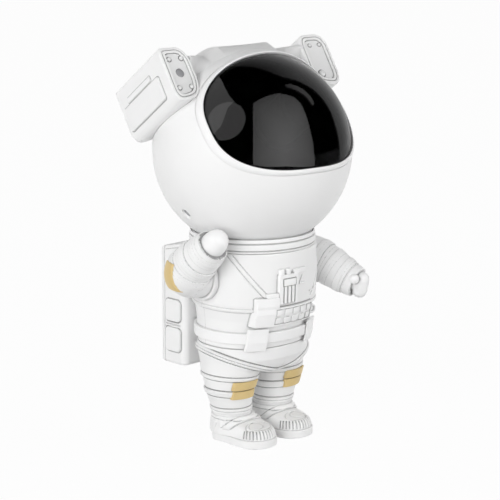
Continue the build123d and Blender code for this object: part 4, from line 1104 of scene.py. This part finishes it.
def left_glove(x, y, z):
    wrist = rod(x, y, z, (54.0, -26.6, 85.6), (56.0, -31.0, 83.4), 5.6, 4.8)
    fingers = rod(x, y, z, (56.2, -32.6, 86.0), (56.2, -31.2, 79.8), 4.6, 4.6)
    root = rod(x, y, z, (53.6, -30.0, 85.4), (49.4, -33.2, 87.4), 2.4, 2.2)
    thumb = ball(x, y, z, (48.8, -33.6, 87.7), 2.9)
    return hull_line(hull_line(wrist, fingers, 0.8), np.minimum(root, thumb), 0.6)


cast(
    "left_glove", left_glove, (44, -38, 73), (62, -19, 93), 0.4, on_figure,
    "left_arm", white_trim, ["left_hand"],
)

# ---- painted shade in the creases of the whole figure, stored on the vertices for the skin group
# Each arm is shaded by itself, because it moves.


def shade_creases(pieces, depth):
    """Stores on each vertex how closely its own piece and the neighbours crowd round it, for the skin group's
    painted shade.
    """
    for mesh, verts, out, field, *_ in pieces:
        crowded = np.zeros(len(verts), np.float32)
        for reach, weight in ((0.5, 0.35), (1.2, 0.35), (2.8, 0.30)):
            probe = verts + out * reach
            free = field(*probe.T)
            for other_mesh, _, _, other, other_low, other_high in pieces:
                if other_mesh is not mesh:
                    near = np.all((probe > other_low - 1) & (probe < other_high + 1), axis=1)
                    if near.any():
                        free[near] = np.minimum(free[near], np.maximum(other(*probe[near].T), 0))
            crowded += weight * np.clip(1 - free / reach, 0, 1)
        # how far the spot lies under the skin round it, which finds the floors of grooves
        sunk = np.zeros(len(verts))
        for step in np.eye(3) * 0.8:
            sunk -= field(*(verts + step).T) + field(*(verts - step).T)
        crowded += np.clip(sunk * 0.55, 0, 0.8).astype(np.float32)
        layer = mesh.attributes.new("crowded", "FLOAT", "POINT")
        layer.data.foreach_set("value", (crowded * depth).astype(np.float32))


arm_names = ("left_", "right_", "elbow")
shade_creases([piece for piece in mouldings if not piece[0].name.startswith(arm_names)], 0.45)
shade_creases([piece for piece in mouldings if piece[0].name.startswith(("right_", "elbow"))], 0.6)
shade_creases([piece for piece in mouldings if piece[0].name.startswith("left_")], 0.6)
mouldings.clear()

# ================================================================ HELMET BALL
# The main shell of the helmet: a hollow ball with a rounded oval opening for the visor, two screw
# wells low at its sides, and a parting line behind.  Satin white plastic, one moulding.
ball_centre = np.array(joints["head_tilt"]["pos_m"]) * 1000
head_left = np.array(joints["head_tilt"]["axis"], float)
head_out = np.array(joints["wheel_spin"]["axis"], float)
head_up = np.cross(head_out, head_left)
head_radius = 56.0
visor_half_width, visor_half_height, visor_rise = 47.1, 36.3, 2.0
helmet_seam = -36.0
shell_wall = 2.0
lip_inset = np.array([0.9945, 0.9945, 1.0])
lip_chamfer = np.array([0, 0, 0.25])


def in_head(points):
    """Millimetres from the ball's centre (left, up, out) to the row frame."""
    return (points @ np.array([head_left, head_up, head_out]) + ball_centre) / 1000


def visor_outline(angle, grow=0.0, squareness=2.3):
    """Rounded oval of the visor, seen along its axis, grown by a margin."""
    c, s = np.cos(angle), np.sin(angle)
    return np.stack(
        [
            (visor_half_width + grow) * np.sign(c) * np.abs(c) ** (2 / squareness),
            (visor_half_height + grow) * np.sign(s) * np.abs(s) ** (2 / squareness) + visor_rise,
        ],
        -1,
    )


def oval_angles(count):
    """Angles that space points evenly along the visor's outline."""
    fine = np.linspace(0, 2 * math.pi, 7201)
    outline = visor_outline(fine)
    run = np.concatenate([[0], np.cumsum(np.linalg.norm(np.diff(outline, axis=0), axis=1))])
    return np.interp(np.linspace(0, run[-1], count + 1)[:-1], run, fine)


def on_ball(flat, radius):
    """Points seen along the visor's axis, put on a ball."""
    return np.concatenate([flat, np.sqrt(radius**2 - (flat**2).sum(-1, keepdims=True))], -1)


def hoops_mesh(name, hoops, close_ends, place):
    """A mesh through closed hoops of equal point count; its ends are joined or capped."""
    rows, around = len(hoops), len(hoops[0])
    verts = np.concatenate(hoops)
    faces = []
    last = rows - 1 if close_ends else rows
    for r in range(last):
        a0, b0 = r * around, ((r + 1) % rows) * around
        for k in range(around):
            n = (k + 1) % around
            faces.append((a0 + k, a0 + n, b0 + n, b0 + k))
    if close_ends:
        faces.append(tuple(range(around - 1, -1, -1)))
        faces.append(tuple((rows - 1) * around + k for k in range(around)))
    mesh = bpy.data.meshes.new(name)
    mesh.from_pydata(place(verts).tolist(), [], faces)
    check = bmesh.new()
    check.from_mesh(mesh)
    bmesh.ops.recalc_face_normals(check, faces=check.faces)
    check.to_mesh(mesh)
    check.free()
    return mesh


def bore(piece, cutter_mesh):
    """Cuts a closed cutter out of a piece."""
    cutter = bpy.data.objects.new(piece.name + "_cutter", cutter_mesh)
    bpy.context.scene.collection.objects.link(cutter)
    cut = piece.modifiers.new("bore", "BOOLEAN")
    cut.operation = "DIFFERENCE"
    cut.solver = "MANIFOLD"
    cut.object = cutter
    bpy.context.view_layer.update()
    settled = bpy.data.meshes.new_from_object(piece.evaluated_get(bpy.context.evaluated_depsgraph_get()))
    piece.modifiers.remove(cut)
    piece.data = settled
    settled.shade_smooth()
    settled.set_sharp_from_angle(angle=math.radians(crease_angle))
    bpy.data.objects.remove(cutter)


def drill(name, direction, radii, depths):
    """A stepped round cutter along a direction from the ball's centre."""
    direction = np.array(direction, float) / np.linalg.norm(direction)
    side = np.cross(direction, (0.2, 0.5, 0.9))
    side /= np.linalg.norm(side)
    other = np.cross(direction, side)
    turn = np.linspace(0, 2 * math.pi, 64, endpoint=False)[:, None]
    ring = np.cos(turn) * side + np.sin(turn) * other
    hoops = [direction * d + ring * r for r, d in zip(radii, depths)]
    return hoops_mesh(name, hoops, True, in_head)


seen = oval_angles(420)
opening = visor_outline(seen, 2.55)
edge_out = on_ball(opening, head_radius)
edge_in = on_ball(opening, head_radius - shell_wall)


def down_the_ball(edge, radius, seam, rows):
    """Hoops over the ball from an edge to the seam plane."""
    start = edge / np.linalg.norm(edge, axis=1, keepdims=True)
    flat = start[:, :2] / np.linalg.norm(start[:, :2], axis=1, keepdims=True)
    depth = seam / radius
    finish = np.concatenate([flat * math.sqrt(1 - depth**2), np.full((len(flat), 1), depth)], 1)
    spread = np.arccos(np.clip((start * finish).sum(1), -1, 1))[:, None]
    hoops = []
    for t in np.linspace(0, 1, rows):
        arc = np.sin((1 - t) * spread) * start + np.sin(t * spread) * finish
        hoops.append(radius * arc / np.sin(spread))
    return hoops


outer = down_the_ball(edge_out, head_radius, helmet_seam, 150)
inner = down_the_ball(edge_in, head_radius - shell_wall, helmet_seam, 40)
lip = outer[-1] * lip_inset
outer[-1] = outer[-1] + lip_chamfer
helmet_mesh = hoops_mesh("helmet_ball", outer + [lip] + inner[::-1], False, in_head)
helmet_ball = finish_piece("helmet_ball", helmet_mesh, "head", white_shell, ["helmet"])
well = np.array([-0.826, -0.468, -0.315])
well_radii = (2.7, 2.7, 2.8, 3.0, 3.5, 4.2)
well_depths = (51.8, 54.4, 54.8, 55.4, 56.0, 58.0)
for side in (1, -1):
    bore(helmet_ball, drill("well", well * np.array([side, 1, 1]), well_radii, well_depths))

# ---- rear cap of the helmet, snapped on, with the slot for the power plug
# It closes the ball behind the boards; the parting line is a fine shadow gap.
cap_turn = np.linspace(0, 2 * math.pi, 360, endpoint=False)
pole_gap = 0.004


def cap_bowl(first, radius, rows):
    """Hoops over the back of the ball, from a depth to just short of its pole."""
    start = math.acos(first / radius)
    depths = [radius * math.cos(start + (math.pi - pole_gap - start) * k / rows) for k in range(rows + 1)]
    bowl = []
    for depth in depths:
        wide = math.sqrt(max(radius**2 - depth**2, 0))
        bowl.append(np.stack([wide * np.cos(cap_turn), wide * np.sin(cap_turn), np.full(360, depth)], 1))
    return bowl


cap_hoops = cap_bowl(helmet_seam - 0.55, head_radius, 60)
cap_inner = cap_bowl(helmet_seam - 0.3, head_radius - shell_wall, 30)
cap_lip = cap_hoops[0] * lip_inset + lip_chamfer
cap_mesh = hoops_mesh("rear_cap", cap_inner[::-1] + [cap_lip] + cap_hoops, True, in_head)
rear_cap = finish_piece("rear_cap", cap_mesh, "head", white_shell, ["helmet_back"])
slot_turn = np.linspace(0, 2 * math.pi, 64, endpoint=False)
slot_half_straight, slot_drop = 2.85, -12.0


def slot_ring(reach, depth):
    """The plug slot's outline at a depth: two half circles of this reach with straight sides."""
    across = np.cos(slot_turn) * reach + np.sign(np.cos(slot_turn)) * slot_half_straight
    return np.stack([across, np.sin(slot_turn) * reach + slot_drop, np.full(64, depth)], 1)


slot_steps = ((1.95, -50.0), (1.95, -54.0), (2.6, -55.2), (2.6, -58.0))
slot_hoops = [slot_ring(reach, depth) for reach, depth in slot_steps]
bore(rear_cap, hoops_mesh("plug_slot", slot_hoops, True, in_head))

# ================================================================ VISOR RIM
# A separate ring of pale plastic with a round section, snapped into the oval opening.  It holds the
# visor by its edge.
rim_white = plastic("rim_white", (0.90, 0.90, 0.90), (0.87, 0.87, 0.87), 0.38, 0.15)
seen_rim = oval_angles(360)
rim_section = [
    (2.35, 55.2), (2.4, 56.2), (2.2, 56.6), (1.85, 56.88), (1.3, 56.96), (0.8, 56.86), (0.38, 56.55),
    (0.12, 56.0), (0.08, 55.0), (0.08, 53.9), (2.35, 53.9),
]
rim_hoops = [on_ball(visor_outline(seen_rim, grow), radius) for grow, radius in rim_section]
rim_mesh = hoops_mesh("visor_ring", rim_hoops, False, in_head)
finish_piece("visor_ring", rim_mesh, "head", rim_white, ["visor_rim"], 50)

# ================================================================ VISOR
# Smoked, hard-coated polycarbonate, thermoformed to the ball and held by the rim: it looks black
# until the lamp is lit.
smoked = bpy.data.materials.new("smoked_visor")
smoked.use_nodes = True
smoke_nodes, smoke_links = smoked.node_tree.nodes, smoked.node_tree.links
smoke = smoke_nodes["Principled BSDF"]
smoke.inputs["Transmission Weight"].default_value = 1.0
smoke.inputs["IOR"].default_value = 1.5
smoke_where = smoke_nodes.new("ShaderNodeTexCoord")
smoke_haze = smoke_nodes.new("ShaderNodeTexNoise")
smoke_haze.inputs["Scale"].default_value = 60
smoke_tint = smoke_nodes.new("ShaderNodeValToRGB")
smoke_tint.color_ramp.elements[0].color = (0.100, 0.100, 0.105, 1)
smoke_tint.color_ramp.elements[1].color = (0.140, 0.140, 0.146, 1)
smoke_wipe = smoke_nodes.new("ShaderNodeMapRange")
smoke_wipe.inputs["To Min"].default_value = 0.015
smoke_wipe.inputs["To Max"].default_value = 0.035
smoke_links.new(smoke_where.outputs["Object"], smoke_haze.inputs["Vector"])
smoke_links.new(smoke_haze.outputs["Fac"], smoke_tint.inputs["Fac"])
smoke_links.new(smoke_haze.outputs["Fac"], smoke_wipe.inputs["Value"])
smoke_links.new(smoke_tint.outputs["Color"], smoke.inputs["Base Color"])
smoke_links.new(smoke_wipe.outputs["Result"], smoke.inputs["Roughness"])

seen_visor = oval_angles(300)
centre_of_oval = np.array([0, visor_rise])
visor_edge = visor_outline(seen_visor, -0.05) - centre_of_oval


def visor_hoop(share, radius):
    """The visor's outline shrunk towards its middle, on a ball."""
    return on_ball(visor_edge * share + centre_of_oval, radius)


shares = np.linspace(0.006, 0.992, 60)
visor_hoops = [visor_hoop(s, 55.6) for s in shares] + [visor_hoop(1.0, 55.3), visor_hoop(1.0, 53.7)]
visor_hoops += [visor_hoop(s, 53.5) for s in shares[::-2]]
visor_mesh = hoops_mesh("visor_shell", visor_hoops, True, in_head)
finish_piece("visor_shell", visor_mesh, "head", smoked, ["visor"], 60)

# ================================================================ LIGHT BOXES
# Two box mouldings screwed to the sides of the ball, each with a framed front plate, four pips, a
# raised service panel on its outer wall, and a rear cover round its push button.
box_under = [(41.5, 25.0), (46.0, 22.4), (55.0, 21.8)]
box_corners = {
    "right": [(58.0, 26.0), (58.0, 54.3), (44.3, 54.3), (39.5, 48.5), (39.0, 31.0)] + box_under,
    "left": [(58.0, 26.0), (58.0, 49.5), (53.6, 54.3), (41.0, 54.3), (38.4, 50.5), (38.0, 31.0)] + box_under,
}
box_front, box_back = 27.0, -24.0


def box_outline(u, v, side_name, soft=2.4):
    """Distance to the outline of a box, seen along the visor's axis, with u outwards."""
    corners = np.array(box_corners[side_name])
    best = np.full(u.shape, -1e9)
    for k in range(len(corners)):
        a, b = corners[k], corners[(k + 1) % len(corners)]
        way = (b - a) / np.linalg.norm(b - a)
        best = cut_line(best, (u - a[0]) * way[1] - (v - a[1]) * way[0], soft)
    return best


def light_box(side_name, mirror):
    """The field of one light box, on the side that mirror gives."""

    def field(x, u, f):
        side = x * mirror
        outline = box_outline(side, u, side_name)
        ends = np.abs(f - (box_front + box_back) / 2) - (box_front - box_back) / 2
        form = cut_line(outline, ends, 1.2)
        # framed front: a lip, a shadow groove, a ridge, and the hollow that the plate is let into
        inset = box_outline(side, u, side_name, 2.0)
        at_front = rise(f - 24.5, 0.5)
        form = form + 0.7 * welt(inset + 1.9, 0.24, 0.36) * at_front
        form = form + 1.6 * rise(-inset - 3.5, 0.35) * at_front
        # service panel on the outer wall, and the raised bar above it
        wall = rise(side - 55.5, 1)
        panel = plate_edge(f + 1.0, u - 34.6, 19.8, 6.8, 1.4)
        bar = plate_edge(f + 1.5, u - 44.0, 13.0, 1.5, 0.3)
        form = form - (0.8 * rise(-panel, 0.4) - 0.35 * welt(panel - 0.4, 0.2, 0.35)) * wall
        form = form - (0.6 * rise(-bar, 0.35) - 0.3 * welt(bar - 0.35, 0.2, 0.3)) * wall
        # hollow at the back for the cover and button
        pocket = cut_line(outline + 1.7, f - box_back - 2.9, 0.2)
        form = np.maximum(form, -pocket)
        return np.maximum(form, head_radius + 0.05 - np.sqrt(x**2 + u**2 + f**2))

    return field


box_nodes = {"right": ["right_light_box", "box_side_panels"], "left": ["left_light_box"]}
for side_name, mirror in (("right", -1), ("left", 1)):
    near, far = sorted((mirror * 37.0, mirror * 59.2))
    cast(
        f"{side_name}_box_shell", light_box(side_name, mirror), (near, 21, -24.5), (far, 55, 27.5), 0.32,
        in_head, "head", white_shell, box_nodes[side_name],
    )

# ---- the two front plates, a shade greyer, with their pips and the window of the infrared sensor
plate_white = plastic("plate_white", (0.80, 0.80, 0.80), (0.77, 0.77, 0.77), 0.40, 0.15)
plate_middle = (48.8, 38.4)


def face_plates(x, u, f):
    side = np.abs(x)
    edge = np.where(x < 0, box_outline(side, u, "right", 2.0), box_outline(side, u, "left", 2.0))
    form = cut_line(edge + 3.75, np.abs(f - 25.2) - 1.1, 0.4)
    pu, pv = side - plate_middle[0], u - plate_middle[1]
    right = np.hypot(np.abs(pu) - 4.0, np.abs(pv) - 8.7)
    top_left = np.hypot(np.abs(pu) - 3.4, pv - 9.0)
    low_left = np.hypot(pu + 2.6, pv + 9.2)
    window = cut_line(np.hypot(pu, pv - 0.2) - 2.65, 24.0 - f, 0.2)
    pips = np.where(x < 0, right, np.minimum(top_left + 0.35, low_left - 0.7))
    pip_size = np.where(x < 0, 1.3, 1.35)
    in_front = rise(f - 25.6, 0.6)
    form = form + 0.5 * welt(pips - pip_size - 0.1, 0.2, 0.3) * in_front
    form = form - 1.1 * np.sqrt(np.clip(1 - (pips / pip_size) ** 2, 0, 1)) * in_front
    form = form + 0.4 * np.where(x > 0, welt(low_left - 2.3, 0.2, 0.3), 0) * in_front
    return np.where(x < 0, np.maximum(form, -window), form)


cast(
    "face_plates", face_plates, (-55.5, 24, 23.8), (55.5, 53, 27.4), 0.3, in_head, "head", plate_white,
    ["box_faces"],
)

# ---- window of the infrared receiver, a grey lens pressed into the right plate
sensor_grey = plastic("sensor_grey", (0.33, 0.33, 0.34), (0.29, 0.29, 0.30), 0.18, 0.05)
lens_turn = np.linspace(0, 2 * math.pi, 48, endpoint=False)
lens_hoops = [
    np.stack([-48.8 + r * np.cos(lens_turn), 38.6 + r * np.sin(lens_turn), np.full(48, d)], 1)
    for r, d in ((2.6, 24.0), (2.6, 25.8), (2.45, 26.05), (1.9, 26.2), (1.0, 26.3), (0.1, 26.33))
]
lens_mesh = hoops_mesh("sensor_window", lens_hoops, True, in_head)
finish_piece("sensor_window", lens_mesh, "head", sensor_grey, ["ir_window"])

# ================================================================ CROWN BRIDGE
# Raised band over the crown between the boxes, moulded with the ball's upper half in a slightly
# greyer plastic: a flat-topped hump in the middle and a step down to each box.
bridge_grey = plastic("bridge_grey", (0.83, 0.83, 0.83), (0.80, 0.80, 0.80), 0.40, 0.15)
back_tilt = math.radians(30)


def crown_band(x, u, f):
    round_axis = np.hypot(u, f)
    shell = np.sqrt(np.maximum(head_radius**2 - x**2, 1))
    top = np.interp(np.abs(x), [0, 17.5, 25.5, 60], [58.7, 58.7, 54.9, 54.9])
    power = 2.3
    reach = (np.abs(x) / visor_half_width) ** power + (np.abs(u - visor_rise) / visor_half_height) ** power
    from_visor = 39 * (reach ** (1 / power) - 1)
    ramp = shell + (from_visor - 7.5) / 9.5 * (top - shell)
    back = -f * math.cos(back_tilt) - u * math.sin(back_tilt)
    form = cut_line(cut_line((round_axis - top) * 0.93, (round_axis - ramp) * 0.8, 1.0), back, 1.6)
    form = np.maximum(form, np.abs(x) - 39.55)
    return np.maximum(form, head_radius - 0.35 - np.sqrt(x**2 + u**2 + f**2))


cast(
    "crown_band", crown_band, (-39.8, 28, -30), (39.8, 60, 46), 0.45, in_head, "head", bridge_grey,
    ["crown_bridge"],
)

# painted shade in the creases of the helmet's pieces, stored on the vertices for the skin group
shade_creases(mouldings, 0.45)

# ================================================================ BUTTONS AND INNER PARTS
# What stays as the frame gives it: the rear covers and push buttons, the neck, the light engine
# behind the visor, the boards, the lenses and the turned metal parts.
black_plastic = plastic("black_plastic", (0.006, 0.006, 0.006), (0.012, 0.012, 0.012), 0.30, 0.25)
frame_grey = plastic("frame_grey", (0.008, 0.008, 0.008), (0.014, 0.014, 0.014), 0.45, 0.3)
white_nylon = plastic("white_nylon", (0.74, 0.73, 0.70), (0.68, 0.67, 0.63), 0.42, 0.2)
bright_steel = plastic("bright_steel", (0.56, 0.57, 0.58), (0.48, 0.49, 0.51), 0.26, 0.3, 1.0)
nickel_skin = plastic("nickel_skin", (0.66, 0.63, 0.58), (0.58, 0.55, 0.50), 0.20, 0.1, 1.0)
milled_aluminium = plastic("milled_aluminium", (0.80, 0.81, 0.82), (0.70, 0.71, 0.73), 0.34, 0.6, 1.0)
board_mask = plastic("board_mask", (0.015, 0.11, 0.045), (0.010, 0.07, 0.030), 0.33, 0.5)


def clear_part(name, tint, haze, wave):
    """Clear moulded optics: tinted, faintly wavy, with a trace of haze."""
    material = bpy.data.materials.new(name)
    material.use_nodes = True
    nodes, links = material.node_tree.nodes, material.node_tree.links
    surface = nodes["Principled BSDF"]
    surface.inputs["Transmission Weight"].default_value = 1.0
    surface.inputs["IOR"].default_value = 1.49
    where = nodes.new("ShaderNodeTexCoord")
    ripple = nodes.new("ShaderNodeTexNoise")
    ripple.inputs["Scale"].default_value = 220
    colour = nodes.new("ShaderNodeValToRGB")
    colour.color_ramp.elements[0].color = (*[t * 0.93 for t in tint], 1)
    colour.color_ramp.elements[1].color = (*tint, 1)
    level = nodes.new("ShaderNodeMapRange")
    level.inputs["To Min"].default_value = haze
    level.inputs["To Max"].default_value = haze + 0.03
    relief = nodes.new("ShaderNodeBump")
    relief.inputs["Strength"].default_value = wave
    relief.inputs["Distance"].default_value = 0.0002
    links.new(where.outputs["Object"], ripple.inputs["Vector"])
    links.new(ripple.outputs["Fac"], colour.inputs["Fac"])
    links.new(ripple.outputs["Fac"], level.inputs["Value"])
    links.new(ripple.outputs["Fac"], relief.inputs["Height"])
    links.new(colour.outputs["Color"], surface.inputs["Base Color"])
    links.new(level.outputs["Result"], surface.inputs["Roughness"])
    links.new(relief.outputs["Normal"], surface.inputs["Normal"])
    return material


clear_lens = clear_part("clear_lens", (0.97, 0.98, 1.0), 0.0, 0.02)
rippled_glass = clear_part("rippled_glass", (0.95, 0.98, 1.0), 0.02, 0.9)
coated_wheel = clear_part("coated_wheel", (0.35, 0.62, 0.95), 0.01, 0.7)

kept_finish = {
    white_trim: ["neck_cup", "box_covers", "nebula_button", "star_button"],
    black_plastic: ["lens_baffle", "lens_barrel", "wheel_motor", "laser_module", "ir_receiver"],
    frame_grey: ["engine_frame"],
    white_nylon: ["drive_gear", "star_gear", "right_arm_clip", "left_arm_clip"],
    bright_steel: ["drive_shaft", "helmet_screws", "steel_dish", "usb_socket"],
    nickel_skin: ["neck_magnet"],
    milled_aluminium: ["heat_sink"],
    board_mask: ["led_board", "key_boards", "main_board"],
    clear_lens: ["collimator_lens", "front_lens"],
    rippled_glass: ["ripple_glass", "star_grating"],
    coated_wheel: ["nebula_wheel"],
}
for finish, names in kept_finish.items():
    for kept in names:
        part = frame["nodes"][kept]
        for held in part.material_slots:
            held.material = finish
        if not part.material_slots:
            part.data.materials.append(finish)
